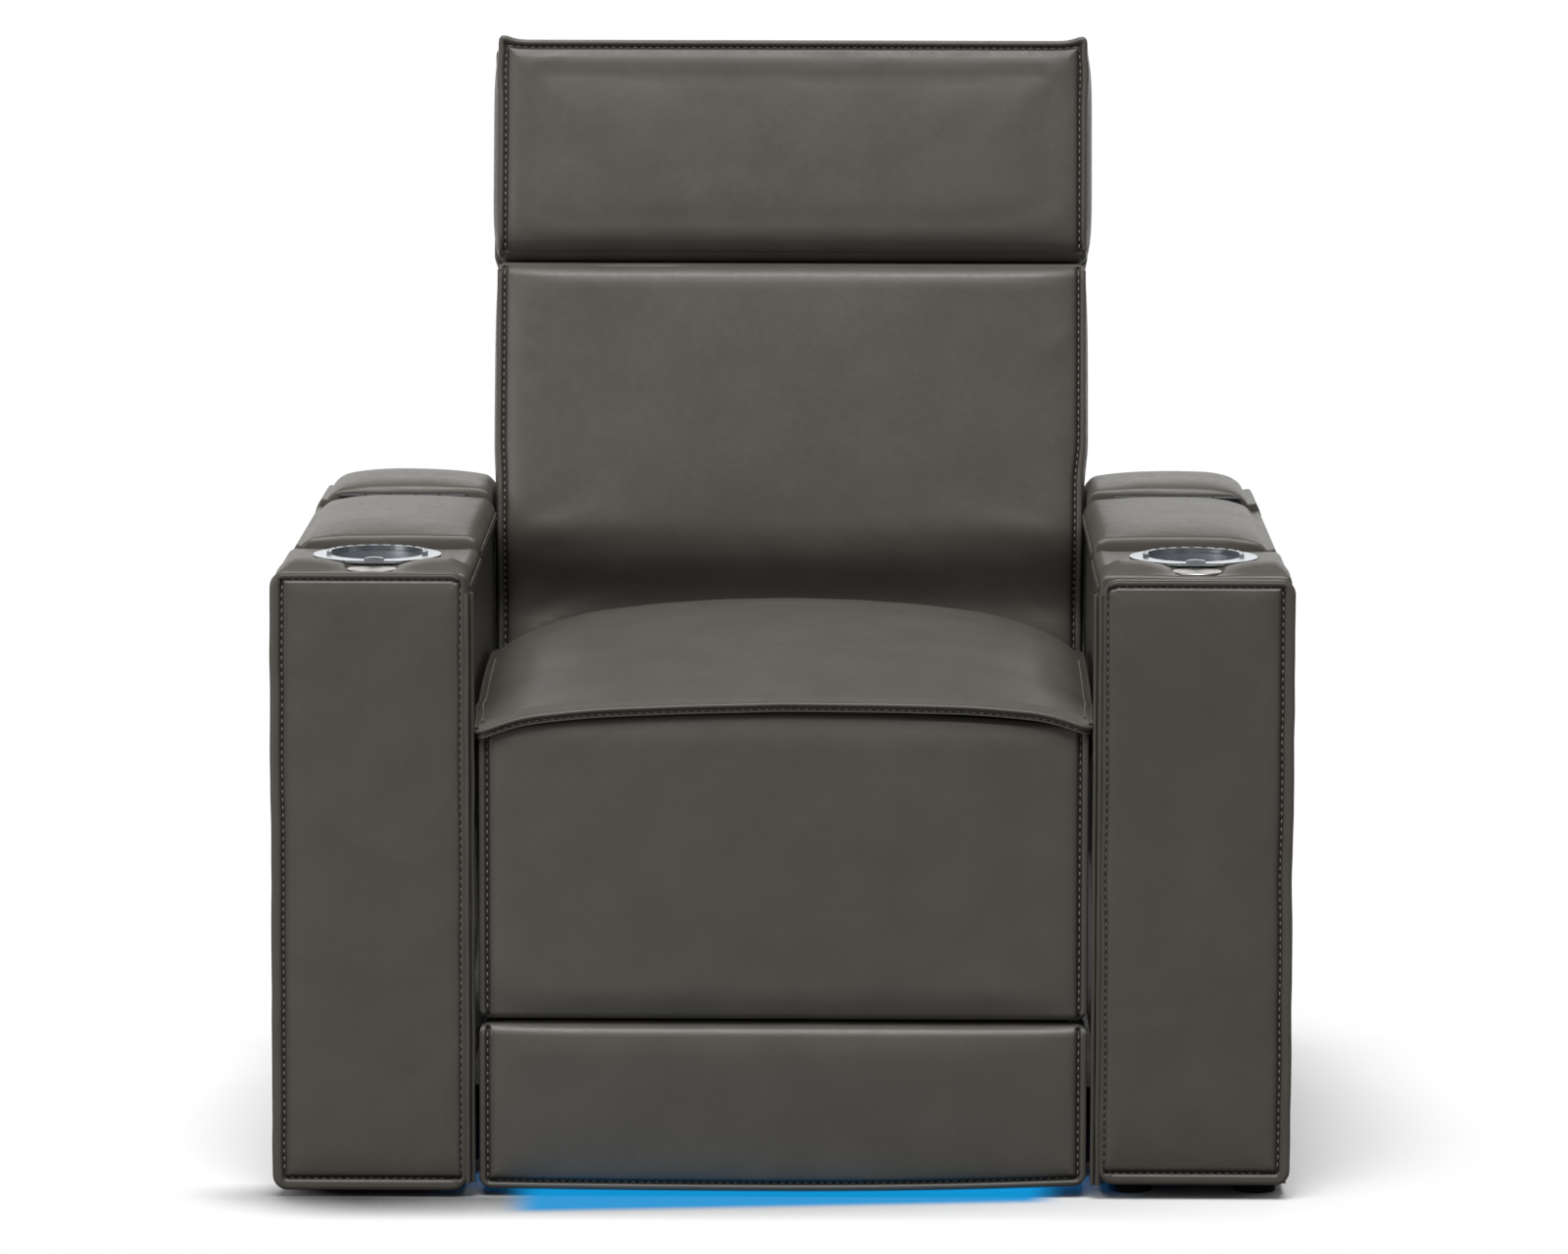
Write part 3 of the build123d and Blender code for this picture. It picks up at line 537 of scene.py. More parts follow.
def inflate(piece, hold, pressure):
    model = piece.copy()
    model.data = piece.data.copy()
    bpy.context.scene.collection.objects.link(model)
    group = model.vertex_groups.new(name="held")
    for v in model.data.vertices:
        group.add([v.index], min(max(hold(v.co), 0.0), 1.0), "REPLACE")
    settings = model.modifiers.new("cover", "CLOTH").settings
    settings.vertex_group_mass = "held"
    for name, value in HIDE.items():
        setattr(settings, name, value)
    settings.uniform_pressure_force = pressure
    settings.effector_weights.gravity = 0
    for frame_number in range(1, CLOTH_FRAMES + 1):
        bpy.context.scene.frame_set(frame_number)
    moved = model.evaluated_get(bpy.context.evaluated_depsgraph_get()).data
    largest = 0.0
    for v, w in zip(piece.data.vertices, moved.vertices):
        step = w.co - v.co
        v.co += step * min(1.0, CLOTH_CAP * MM / max(step.length, 1e-9))
        largest = max(largest, step.length)
    bpy.context.scene.frame_set(1)
    bpy.data.objects.remove(model)
    print("cover of", piece.name, "moved by up to", round(largest / MM, 1), "mm before the cap")


print("covers are", "blown up for %d frames" % CLOTH_FRAMES)

# %% [markdown]
# ## Folds
# Leather over a deep cushion gathers where it is pulled round a corner. Each fold is one soft ridge with a
# place, a direction, a length, a width and a height. A slow noise keeps the foam between them uneven.

# %% Folds
FOLD_BEND = 0.002       # how much a fold curves along its run, per mm


def fold_height(x, z, folds):
    total = 0.0
    for fx, fz, angle, length, width, height in folds:
        c, s = math.cos(math.radians(angle)), math.sin(math.radians(angle))
        along, across = (x - fx) * c + (z - fz) * s, (z - fz) * c - (x - fx) * s
        total += height * math.exp(-(along / length) ** 2 - ((across + FOLD_BEND * along ** 2) / width) ** 2)
    return total


def unevenness(co, size=60.0, height=0.5):
    return height * MM * (noise.noise(co / (size * MM)) + 0.4 * noise.noise(co / (0.35 * size * MM)))


print("8 mm beside its crest a fold has", round(fold_height(0, 8, [(0, 0, 0, 30, 8, 1)]), 2), "of its height")

# %% [markdown]
# ## One maker for all sewn pads
# Arm fronts, leg rest, back and headrest differ in size, in which edges are sewn and in how far they swell.
# The maker shapes the block, writes the vertex attribute for the painted shade in the seam channels, blows up the
# cover, and lays piping and stitches.

# %% Seam lines of a sewn pad
ALL_ROUND = {"left": 1.0, "right": 1.0, "bottom": 1.0, "top": 1.7}     # the seam lies closer to the top edge
STAND = Matrix.Translation((0, FRONT, 0))
PIPING = 2.0 * MM       # radius of the cord in a piped seam


def seam_paths(lo, hi, inset, radius, seams):
    u0, u1 = lo.x + inset / seams.get("left", 1.0) * MM, hi.x - inset / seams.get("right", 1.0) * MM
    v0, v1 = lo.z + inset / seams.get("bottom", 1.0) * MM, hi.z - inset / seams.get("top", 1.0) * MM
    if len(seams) == 4:
        return [outline(u0, u1, v0, v1, radius * MM)]
    if "top" in seams:
        return [arch_line(u0, u1, lo.z + 10 * MM, v1, radius * MM)]
    paths = side_lines(u0, u1, lo.z + 8 * MM, hi.z - 9 * MM)
    if "bottom" in seams:
        paths.append(resample([Vector((u0 + 8 * MM, v0, 0)), Vector((u1 - 8 * MM, v0, 0))], PATH_STEP))
    return paths


print("piping is", round(2 * PIPING / MM, 1), "mm thick")

# %% The maker
def sewn_pad(name, lo, hi, front, bulge, seams, width, reach, matrix, material, body, node, warp,
             roll=16, corner=6, depth=4.4, folds=(), rough=(80, 0.5), blow=0.0, ease=50):
    # blow is the pressure of the simulation, and rough the size and height of the foam's unevenness in mm
    if isinstance(seams, tuple):
        seams = dict.fromkeys(seams, 1.0)
    bm, lo, hi = sewn_block(lo, hi, front, bulge, seams, width, reach, roll, corner, depth, ease)
    seam_shade_mask = bm.verts.layers.float.new("seam_shade_mask")
    for v in bm.verts:
        sewn = rim_distance(v.co, lo, hi, seams)[0]
        if v.co.y < lo.y + 6 * MM:
            # painted shade: 1 in the seam's channel, where the leather's colour is darkened
            v[seam_shade_mask] = math.exp(-((sewn - width) / (2.4 if sewn < width else 4.6)) ** 2)
            ease_in = smooth01((sewn - width) / 14)
            v.co.y -= (fold_height(v.co.x / MM, v.co.z / MM, folds) * MM + unevenness(v.co, *rough)) * ease_in
        v.co = warp(v.co)
    cover = finish_piece(name, bm, material, body, node, matrix=matrix)
    if blow:
        upright = matrix.inverted()

        def hold(co):
            q = upright @ co
            sewn, rolled = rim_distance(q, lo, hi, seams)
            free = smooth01((sewn - width - 4) / 24) * smooth01((rolled - 16) / 24)
            return 1.0 if q.y > lo.y + 3 * MM else 1 - free

        inflate(cover, hold, blow)
    paths = seam_paths(lo, hi, 1.2, max(corner - 1, 2), seams)
    for i, path in enumerate(paths):
        points = [p for p, n in lay(path, lo.y + LIP * MM, matrix, warp)]
        tube("%s_piping_%d" % (name, i + 1), points, PIPING, body, closed=len(seams) == 4)
    rows = [lay(path, lo.y + (depth - 0.9) * MM, matrix, warp)
            for path in seam_paths(lo, hi, width, max(corner - width + 4, 3), seams)]
    stitches(name + "_stitches", rows, body, closed=len(seams) == 4)


# %% [markdown]
# ## The arms
# Both long sides of an arm are hide stretched over a box of boards. The front panel is a firm board under thin
# foam with a wide lip and the channel about 10 mm inside. Between it and the seat run two vertical cords, where
# the hide of the arm's inner side is joined on. The seat was sewn by hand: the left arm's panel is a little wider
# and taller than the right one's and hangs lower.

# %% Arm covers
ARM_FRONT_TOP = {"left": 590.5, "right": 586.0}
ARM_FRONT_FOOT = {"left": 7.5, "right": 15.5}
ARM_OUTER = {"left": 478.0, "right": 475.0}
ARM_INNER = 297.5
ARM_MIDDLE = 386.5
ARM_PULL = 2.2          # mm that the hide is drawn in at the edges of the arm's outer side
ARM_WALL = 16 * MM
ARM_HOLLOW = 240 * MM   # room for the tub and the cup well


def arm_cover(side, sign):
    lo, hi = box_on(sign, 298, 475, 28, 720, 12, 557)
    bm = foam_block(lo, hi, 14)
    for v in bm.verts:
        reach = min(v.co.z - lo.z, hi.z - v.co.z, v.co.y - lo.y, hi.y - v.co.y) / MM
        outward = 1 if v.co.x > (lo.x + hi.x) / 2 else -1
        if min(v.co.x - lo.x, hi.x - v.co.x) < 1e-5 and outward == sign:
            v.co.x -= outward * (ARM_PULL * (1 - smooth01(reach / 60)) * MM - unevenness(v.co, 140, 0.6))
    round_edges(bm, lo, hi, 0, 1, (4, 9, 4, 1.5) if sign < 0 else (4, 1.5, 4, 9))
    hollow = [f for f in bm.faces if f.calc_center_median().z > hi.z - 1e-4
              and all(lo[i] + ARM_WALL < f.calc_center_median()[i] < hi[i] - ARM_WALL for i in (0, 1))]
    sunk = bmesh.ops.extrude_face_region(bm, geom=hollow)["geom"]
    bmesh.ops.translate(bm, vec=(0, 0, -ARM_HOLLOW), verts=[g for g in sunk if isinstance(g, bmesh.types.BMVert)])
    bmesh.ops.delete(bm, geom=hollow, context="FACES_ONLY")
    finish_piece("arm_cover_" + side, bm, PANEL_LEATHER, "base", "arm_case_" + side)


print("the arms' panels reach up to", ARM_FRONT_TOP)

# %% Front panels and cords
INNER_SEAM = 2.6        # the stitches beside the seat run that many times closer to the edge
EDGE_CORD = 2.3 * MM
EDGE_CORDS = (295.0, 290.6)


def arm_front(side, sign):
    def sway(q):
        return q + Vector((unevenness(Vector((0, q.y, q.z + sign)), 90, 1.1), 0, 0))

    x0, x1 = sorted((sign * ARM_INNER, sign * ARM_OUTER[side]))
    seams = {**ALL_ROUND, "right" if sign < 0 else "left": INNER_SEAM}
    sewn_pad("arm_front_panel_" + side, (x0, 0.5, ARM_FRONT_FOOT[side]), (x1, 30, ARM_FRONT_TOP[side]), 3.0, 0,
             seams, 10.5, 16, STAND, PANEL_LEATHER, "base", "arm_front_pad_" + side, sway,
             corner=13, depth=3.6, rough=(45, 0.35))
    for k, x in enumerate(EDGE_CORDS):
        line = [at(sign * x + 0.5 * noise.noise(Vector((z / 60, sign, k))), 5 + 5 * k, z)
                for z in range(14, round(ARM_FRONT_TOP[side]) - 12, 6)]
        tube("arm_edge_piping_%s_%d" % (side, k + 1), line, EDGE_CORD, "base")


for side, sign in SIDES:
    arm_cover(side, sign)
    arm_front(side, sign)
print("two arms, each with", len(EDGE_CORDS), "cords beside the seat")

# %% [markdown]
# ## Pads on the arms
# The top pads are soft. The front one is cut through for the cup and the round cap, and its foam stands up in
# two humps beside the cap, where nothing holds it down. The lid's pad and the rear pad are crowned blocks with
# round upper edges. A double seam runs along both sides of all three.

# %% Lines through a few heights
def level(pairs, x):
    # a line through a few (place, value) pairs
    for (x0, y0), (x1, y1) in zip(pairs, pairs[1:]):
        if x <= x1:
            return y0 + (y1 - y0) * (max(x, x0) - x0) / (x1 - x0)
    return pairs[-1][1]


def smooth_level(pairs, x, reach):
    # the same line with its corners averaged away
    return sum(level(pairs, x + reach * k / 3) for k in range(-3, 4)) / 7


print("halfway:", level([(0, 0), (50, 10)], 25))

# %% The pad with the cup and the cap
CAP_Y, CUP_Y = 65.0, 147.0                  # depth of the two holes
CAP_HOLE, CUP_HOLE, PLATE = 25.2, 53, 60.5  # radii; the cup's plate hides the edge of its hole
THIN_CORD, CORD_APART = 1.25 * MM, 4.2


def cut_round_hole(bm, x, y, radius):
    # open the top and bottom over a circle, pull the cut edge onto it and join the two edges by a wall
    inside = [f for f in bm.faces if abs(f.normal.z) > 0.6
              and math.hypot(f.calc_center_median().x - x, f.calc_center_median().y - y) < radius]
    bmesh.ops.delete(bm, geom=inside, context="FACES")
    rim = [e for e in bm.edges if e.is_boundary]
    for v in {v for e in rim for v in e.verts}:
        out = Vector((v.co.x - x, v.co.y - y))
        out *= radius / out.length
        v.co.x, v.co.y = x + out.x, y + out.y
    bmesh.ops.bridge_loops(bm, edges=rim)


def pad_top(x, d):
    # height over the arm's box of the pad around the cup, x from the arm's middle
    beside = 1 - math.exp(-(x / 34) ** 2)
    along = math.exp(-((d - 64) / 34) ** 2)
    valley = math.exp(-(x / 28) ** 2) * math.exp(-((d - 50) / 40) ** 2)
    return 31.0 + 11.5 * beside * along - 4.5 * valley


def double_seam(name, x, y0, y1, z, body, sign):
    # two thin cords side by side that wander a little, as a seam pulled by the foam does
    for k, lift in enumerate((0.0, CORD_APART)):
        points = []
        for i in range(round((y1 - y0) / 4) + 1):
            d = y0 + 4 * i
            wave = 1.3 * noise.noise(Vector((d / 38, sign + 2.0, 0.3 * k)))
            points.append(at(sign * (x - 0.4 * wave), d, z + lift + wave))
        tube(name + "_%d" % (k + 1), points, THIN_CORD, body)


def cup_pad(side, sign):
    lo, hi = box_on(sign, 294, ARM_OUTER[side] - 1, 27, 247, 556, 588)
    bm = foam_block(lo, hi, 3.5, 2.0, 14)
    round_edges(bm, lo, hi, 0, 2, (1, 9, 1, 9))
    round_edges(bm, lo, hi, 1, 2, (1, 4, 1, 10))
    round_edges(bm, lo, hi, 0, 1, 5)
    for v in bm.verts:
        x, d, z = sign * v.co.x / MM - ARM_MIDDLE, (v.co.y - FRONT) / MM, v.co.z / MM
        rim = min(x + 92.5, 91.5 - x, d - 27, 247 - d)
        t = smooth01((z - 570) / 14)
        under_plate = 1 - smooth01((math.hypot(x, d - CUP_Y) - PLATE) / 14)
        rise = (pad_top(x, d) - 32) * smooth01((rim + 4) / 26)
        v.co.z += t * MM * (rise * (1 - under_plate) + min(rise, 0.0) * under_plate)
        v.co.z -= t * 4.0 * smooth01((d - 222) / 25) * MM
    cut_round_hole(bm, sign * ARM_MIDDLE * MM, FRONT + CUP_Y * MM, CUP_HOLE * MM)
    cut_round_hole(bm, sign * ARM_MIDDLE * MM, FRONT + CAP_Y * MM, CAP_HOLE * MM)
    finish_piece("arm_top_cushion_" + side, bm, PANEL_LEATHER, "base",
                 "arm_top_pad_" + side)


print("the humps beside the cap are", round(pad_top(40, CAP_Y)), "mm high")

# %% Lid and rear pads
def crowned_pad(side, sign, stem, depths, heights, body, node, crown, inner, ends, low_cord):
    # ends are the radii of the lower and upper edges, front and rear; low_cord is where the outer cords lie
    (y0, y1), (z0, z1) = depths, heights
    lo, hi = box_on(sign, inner, ARM_OUTER[side] - 3, y0, y1, z0, z1 - crown)
    bm = foam_block(lo, hi, 6, 2.5, 20)
    mid, half = (lo + hi) / 2, (hi - lo) / 2
    tall = (z1 - z0 - crown) * 0.8
    edge_out, edge_in = min(30, tall), min(14, tall)
    for v in bm.verts:
        s = [(v.co[i] - mid[i]) / half[i] for i in range(3)]
        dome = (1 - abs(s[0]) ** 2.5) * (1 - abs(s[1]) ** 5)
        droop = OUTER_DROOP[side] * smooth01((sign * v.co.x / MM - 405) / 70) ** 2
        v.co.z += ((crown * dome - droop) * MM + unevenness(v.co, 70, 0.8)) * smooth01(s[2])
    round_edges(bm, lo, hi, 0, 2, (1, edge_out, 1, edge_in) if sign < 0 else (1, edge_in, 1, edge_out))
    round_edges(bm, lo, hi, 1, 2, ends)
    round_edges(bm, lo, hi, 0, 1, 5)
    finish_piece(stem + side, bm, PANEL_LEATHER, body, node + side)
    double_seam(stem + side + "_inner_seam", inner - 0.4, y0 + 6, y1 - 6, z0 + 9, body, sign)
    double_seam(stem + side + "_outer_seam", ARM_OUTER[side] - 3.2, y0 + 4, y1 - 4, z0 + low_cord, body, sign)


OUTER_DROOP = {"left": 4, "right": 8}       # mm that the pads sink towards the arm's outer side
for side, sign in SIDES:
    cup_pad(side, sign)
    crowned_pad(side, sign, "lid_cushion_", (249.5, 577), (568.4, 606), "lid_" + side, "lid_pad_", 9, 294,
                (1, 4.5, 1, 14), 2)
    crowned_pad(side, sign, "arm_rear_cushion_", (579, 720), (556, 614), "base", "arm_rear_pad_", 8, ARM_INNER,
                (1, 5, 1, 24), -2)
    double_seam("arm_top_" + side + "_inner_seam", 293.4, 32, 243, 571, "base", sign)
    double_seam("arm_top_" + side + "_outer_seam", ARM_OUTER[side] - 0.4, 32, 243, 571, "base", sign)
print("pads on both arms")

# %% [markdown]
# ## The seat cushion
# A thick foam block, crowned from side to side and front to back. The top panel wraps forward over a roll and
# ends in a piped seam that arches across the front, a row of stitches just below it. Its form is three tables:
# height along the middle from front to back, drop from the middle to the side, and that drop along the front seam.

# %% Seat cushion
SEAT_PROFILE = [(4, 466), (8, 471), (14, 475), (50, 485), (120, 498), (220, 510), (330, 515), (440, 513), (559, 499)]
SEAT_DROP = [(0, 0), (66, 1.5), (132, 6), (196, 14), (242, 27), (272, 42), (289, 60)]
WELT_DROP = [(0, 0), (57, 1.0), (93, 1.6), (143, 3.2), (174, 4.4), (203, 6.8), (240, 10.8), (260, 16), (287, 26)]
WELT = 2.1 * MM


def seat_top(x, d):
    near, far = smooth_level(WELT_DROP, abs(x), 12), smooth_level(SEAT_DROP, abs(x), 12)
    tilt = 3.0 * x / 287 * (1 - smooth01(d / 150))
    return smooth_level(SEAT_PROFILE, d, 8) + tilt - near - (far - near) * smooth01((d - 5) / 170)


def seat_under(x, d):
    roll = seat_top(x, 4) - 6.5
    return roll + (389 - roll) * smooth01((d - 88) / 7)


lo, hi = at(-287, 5, 389), at(287, 559, 515)
bm = foam_block(lo, hi, 7, 2.0, 20)
round_edges(bm, lo, hi, 0, 1, 12)
for v in bm.verts:
    x, d = v.co.x / MM, (v.co.y - FRONT) / MM
    t = (v.co.z - lo.z) / (hi.z - lo.z)
    under, top = seat_under(x, d), seat_top(x, d)
    v.co.z = (under + (top - under) * t) * MM
    v.co.x += math.copysign(3.0 * MM, x) * smooth01((abs(x) - 250) / 30) * smooth01((d - 20) / 80) * smooth01(t * 2)
    if d < 12 and 0.15 < t < 0.75:
        v.co.y += 1.6 * MM * math.sin(math.pi * (t - 0.15) / 0.6)
seat_cover = finish_piece("seat_cushion_cover", bm, CUSHION_LEATHER, "seat", "seat_cushion")


def seat_hold(co):
    x, d = abs(co.x) / MM, (co.y - FRONT) / MM
    free = smooth01((280 - x) / 30) * smooth01((d - 10) / 24) * smooth01((548 - d) / 20)
    return 1.0 if co.z < (seat_top(co.x / MM, d) - 5) * MM else 1 - free


inflate(seat_cover, seat_hold, 3.0)

# %% Welts of the seat
welt = []
for i in range(193):
    x = -288 + 3.0 * i
    inset = 13 * (1 - math.sqrt(max(0.0, 1 - (max(0.0, abs(x) - 276) / 13) ** 2)))
    welt.append((at(x, 4.2 + inset, seat_top(x, 4) + 0.5), Vector((0, -1, 0.3)).normalized()))
tube("seat_welt", [p for p, n in welt], WELT, "seat")
row = [(p + Vector((0, 1.6, -4.4)) * MM, n) for p, n in welt[4:-4]]
stitches("seat_welt_stitches", [row], "seat")
for side, sign in SIDES:
    line = []
    for i in range(110):
        d = 9 + 5 * i
        out = 287.0 + 3.0 * smooth01((d - 20) / 80)
        line.append((at(sign * out, d, seat_top(sign * 287, d) + 1.0), Vector((sign * 0.4, 0, 0.9))))
    tube("seat_side_welt_" + side, [p for p, n in line], WELT, "seat")
    stitches("seat_side_stitches_" + side, [[(p + Vector((-sign * 6.0, 0, 3.6)) * MM, n) for p, n in line[1:70]]],
             "seat")
print("the front welt rises", round((welt[96][0] - welt[5][0]).z / MM), "mm to the middle")

# %% [markdown]
# ## The leg rest
# Two pads on one board, an upper one nearly 300 mm tall and a narrow one below it. Their side seams carry the
# same piped lip and stitches as the arms; the free edges roll over.

# %% Leg rest pads
LEG_HALF = 284          # mm, half the leg rest's width


def leg_arch(q):
    # the top edge falls towards both sides, as the seam of the seat above it does
    t = smooth01((q.z - 300 * MM) / (150 * MM))
    return q - Vector((0, 0, 14 * MM * (q.x / (LEG_HALF * MM)) ** 2 * t))


def leg_hem(q):
    # the lower seam hangs a little towards the left
    t = 1 - smooth01((q.z / MM - 10) / 100)
    return q + Vector((0, 0, (2.0 if q.x < 0 else 6.5) * MM * (q.x / (LEG_HALF * MM)) ** 2 * t))


for part, z0, z1, front, seams, warp, roll in (
        ("upper", 169, 461, 9, ("left", "right"), leg_arch, 7),
        ("lower", 6.5, 166, 7, ("left", "right", "bottom"), leg_hem, 13)):
    sewn_pad("leg_pad_%s_cover" % part, (-LEG_HALF, 3.5, z0), (LEG_HALF, 70, z1), front, 0, seams, 7, 30, STAND,
             CUSHION_LEATHER, "leg_rest", "leg_pad_" + part, warp, roll=roll, corner=9, blow=2.2)
print("leg rest", 2 * LEG_HALF, "mm wide")

# %% [markdown]
# ## Back and headrest
# Two fat cushions lean back together. Each has a front panel, side gussets that bulge out beside its piped lip,
# and a leather shell behind. The headrest's upper corners stand up like ears: three layers of leather meet there
# and will not fold flat. Low down the back's face turns away behind the seat, where its foam is tucked under.

# %% Back and headrest
EAR = 6.0               # mm that the headrest's corners stand up
BACK_HALF, HEAD_HALF = 293, 301
# folds: x, height, angle, length, width, rise
BACK_FOLDS = [(-262, 372, -35, 26, 6, 1.7), (-255, 340, -40, 30, 7, 1.5), (-262, 300, -38, 26, 8, 1.2),
              (-250, 262, -30, 34, 9, 1.0), (-225, 385, -20, 40, 10, 0.9), (-258, 58, 38, 26, 6, 1.8),
              (-228, 74, 25, 40, 8, 2.2), (-262, 92, 30, 22, 7, 1.3), (252, 70, -32, 30, 8, 1.5),
              (262, 350, 38, 26, 7, 1.0), (120, 30, 4, 80, 12, 1.2), (-60, 24, -3, 90, 12, 1.0)]
HEAD_FOLDS = [(-240, 640, 40, 20, 6, 1.0)]


def head_shape(q):
    # ears at the upper corners, a slight waist of the lip below them, and the whole pad a little to the right
    dx, dz = 294 * MM - abs(q.x), 659 * MM - q.z
    behind = (q.y - 12 * MM) / MM
    ear = math.exp(-(math.hypot(dx, dz) / (13 * MM)) ** 2) * (1 - smooth01(behind / 30))
    waist = math.exp(-((dz - 34 * MM) / (20 * MM)) ** 2) * (1 - smooth01(dx / (12 * MM)))
    waist *= 1 - smooth01(behind / 16)
    out = math.copysign(2.0 * ear - 2.0 * waist, q.x) + 3.0 * smooth01((q.x / MM + 300) / 600)
    under = 9 * max(0.0, 1 - (q.z / MM - 436) / 70) ** 2 * (1 - smooth01(behind / 70))
    return q + Vector((out, under - 1.5 * ear, EAR * ear)) * MM


def back_shape(q):
    # the back is held in at the arms and spreads above them; low down its face turns away behind the seat
    spread = smooth01((q.z / MM - 205) / 50)
    under = 42 * smooth01((168 - q.z / MM) / 92) * (1 - smooth01((q.y / MM - 14) / 72))
    return q + Vector((math.copysign(3.5 + 2.7 * spread, q.x) + spread, under, 0)) * MM


sewn_pad("back_cushion_cover", (-BACK_HALF, 0, 0), (BACK_HALF, 88, 433), 14, 4, ("left", "right"), 6.5, 34,
         LEAN, CUSHION_LEATHER, "back", "back_cushion", back_shape, roll=17, corner=7,
         folds=BACK_FOLDS, rough=(90, 0.9), blow=2.6, ease=26)
sewn_pad("headrest_cushion_cover", (-HEAD_HALF, 0, 436), (HEAD_HALF, 88, 657), 12, 7, ("left", "right", "top"),
         6.5, 34, LEAN, CUSHION_LEATHER, "headrest", "headrest_cushion", head_shape, roll=24,
         corner=7, folds=HEAD_FOLDS, rough=(90, 0.9), blow=2.6)

# %% [markdown]
# Behind, back and headrest are closed by leather shells with a slight bow. The back's has a flap that hangs
# down over the gap to the seat.

# %% Rear shells
def rear_shell(name, half, w0, w1, bow, body, node, tail=None):
    lo, hi = Vector((-half, 62, w0)) * MM, Vector((half, 185 - bow, w1)) * MM
    bm = foam_block(lo, hi, 12, 3, 15)
    mid, size = (lo + hi) / 2, (hi - lo) / 2
    for v in bm.verts:
        s = [(v.co[i] - mid[i]) / size[i] for i in range(3)]
        if s[1] > 0.999:
            v.co.y += bow * MM * (1 - s[0] ** 4) * (1 - s[2] ** 4)
        v.co.y += unevenness(v.co, 120, 0.8) * smooth01(s[1])
    round_edges(bm, lo, hi, 0, 1, (0.5, 14, 0.5, 14))
    round_edges(bm, lo, hi, 1, 2, (0.5, 0.5, 14, 14))
    round_edges(bm, lo, hi, 0, 2, 8)
    if tail:
        flap = foam_block(Vector((-266, 169, tail[0])) * MM, Vector((266, 181, tail[1])) * MM, 20)
        extra = bpy.data.meshes.new("flap")
        flap.to_mesh(extra)
        flap.free()
        bm.from_mesh(extra)
    finish_piece(name, bm, PANEL_LEATHER, body, node, matrix=LEAN)


rear_shell("back_rear_cover", 293, -55, 433, 10, "back", "back_shell", tail=(-130, -20))
rear_shell("headrest_rear_cover", 300, 436, 658, 8, "headrest", "headrest_shell")
print("back and headrest lean", round(math.degrees(BACK_LEAN)), "degrees")

# %% [markdown]
# ## Camera, floor and light
# The picture was taken with a long lens from well in front and a little above. The camera's distance and tilt
# come from the outline: how fast the arms narrow to the rear, and how much of their tops shows.

# %% Camera
camera_data = bpy.data.cameras.new("camera")
camera_data.sensor_width = 36.0
camera_data.lens = 184.3
camera_data.clip_end = 60.0
camera = bpy.data.objects.new("camera", camera_data)
camera.location = at(70, -7400, 1498)
camera.rotation_euler = (math.radians(90 - 7.36), math.radians(-0.12), math.radians(0.555))
bpy.context.scene.collection.objects.link(camera)
bpy.context.scene.camera = camera
print("camera", camera.location)

# %% [markdown]
# The floor is a white paper sheet. Near the seat it is matt and shows the soft shadow; further out it fades into
# plain white. Right at a seat's feet ambient occlusion darkens the paper's colour: a painted contact shadow in
# front. The strip's blue light is a painted pool between the arms, dark blue colour and blue emission of the floor
# itself, given by where a point is on the floor, not by the camera. To rays other than the camera's the sheet is
# grey, so that it does not light the seat from below.

# %% Floor
SHADE_REACH = 0.12              # how near the seat has to be to darken the paper, in metres
SHADE_DEPTH = 4.6
SHEET_FADE = (0.58, 0.85)       # from paper to plain white, metres from the middle
POOL_SKEW = -0.11
SMOOTH = {"interpolation_type": "SMOOTHSTEP"}

material, tree, shader, output, coords = new_material("floor_white")
seen = add(tree, "LightPath", {}).outputs["Is Camera Ray"]
paper = add(tree, "Mix", {0: seen, 6: srgb("#5c5c5c"), 7: srgb("#f0f0f0")}, data_type="RGBA")
spot = add(tree, "SeparateXYZ", {0: coords}).outputs
# painted shade: ambient occlusion near the seat darkens the paper's colour in front of it
near = add(tree, "AmbientOcclusion", {"Distance": SHADE_REACH}, samples=8)
deep = add(tree, "Math", {0: near.outputs["AO"], 1: SHADE_DEPTH}, operation="POWER")
ahead = add(tree, "MapRange", {"Value": spot["Y"], "From Min": FRONT + 70 * MM, "From Max": FRONT})
# painted contact shadow: the left arm stands lower than the right one, so its painted shadow is the deeper of the
# two
left = add(tree, "MapRange", {"Value": spot["X"], "From Min": -0.4, "From Max": 0.4, "To Min": 1.0, "To Max": 0.14})
share = add(tree, "Math", {0: ahead, 1: left}, operation="MULTIPLY")
painted_contact_shadow = add(tree, "Mix", {0: share, 6: paper, 7: deep}, **TINT)
# the painted pool of blue light: dark and lit end of its skewed front edge, of its two ends and of its rear edge
skew = add(tree, "Math", {0: spot["X"], 1: POOL_SKEW, 2: spot["Y"]}, operation="MULTIPLY_ADD")
wide = add(tree, "Math", {0: spot["X"]}, operation="ABSOLUTE")
pool = 1.0
for along, dark, lit in ((skew, FRONT - 46 * MM, FRONT - 16 * MM), (wide, 268 * MM, 225 * MM),
                         (spot["Y"], FRONT + 220 * MM, FRONT + 120 * MM)):
    edge = add(tree, "MapRange", {"Value": along, "From Min": dark, "From Max": lit}, **SMOOTH)
    pool = add(tree, "Math", {0: pool, 1: edge}, operation="MULTIPLY")
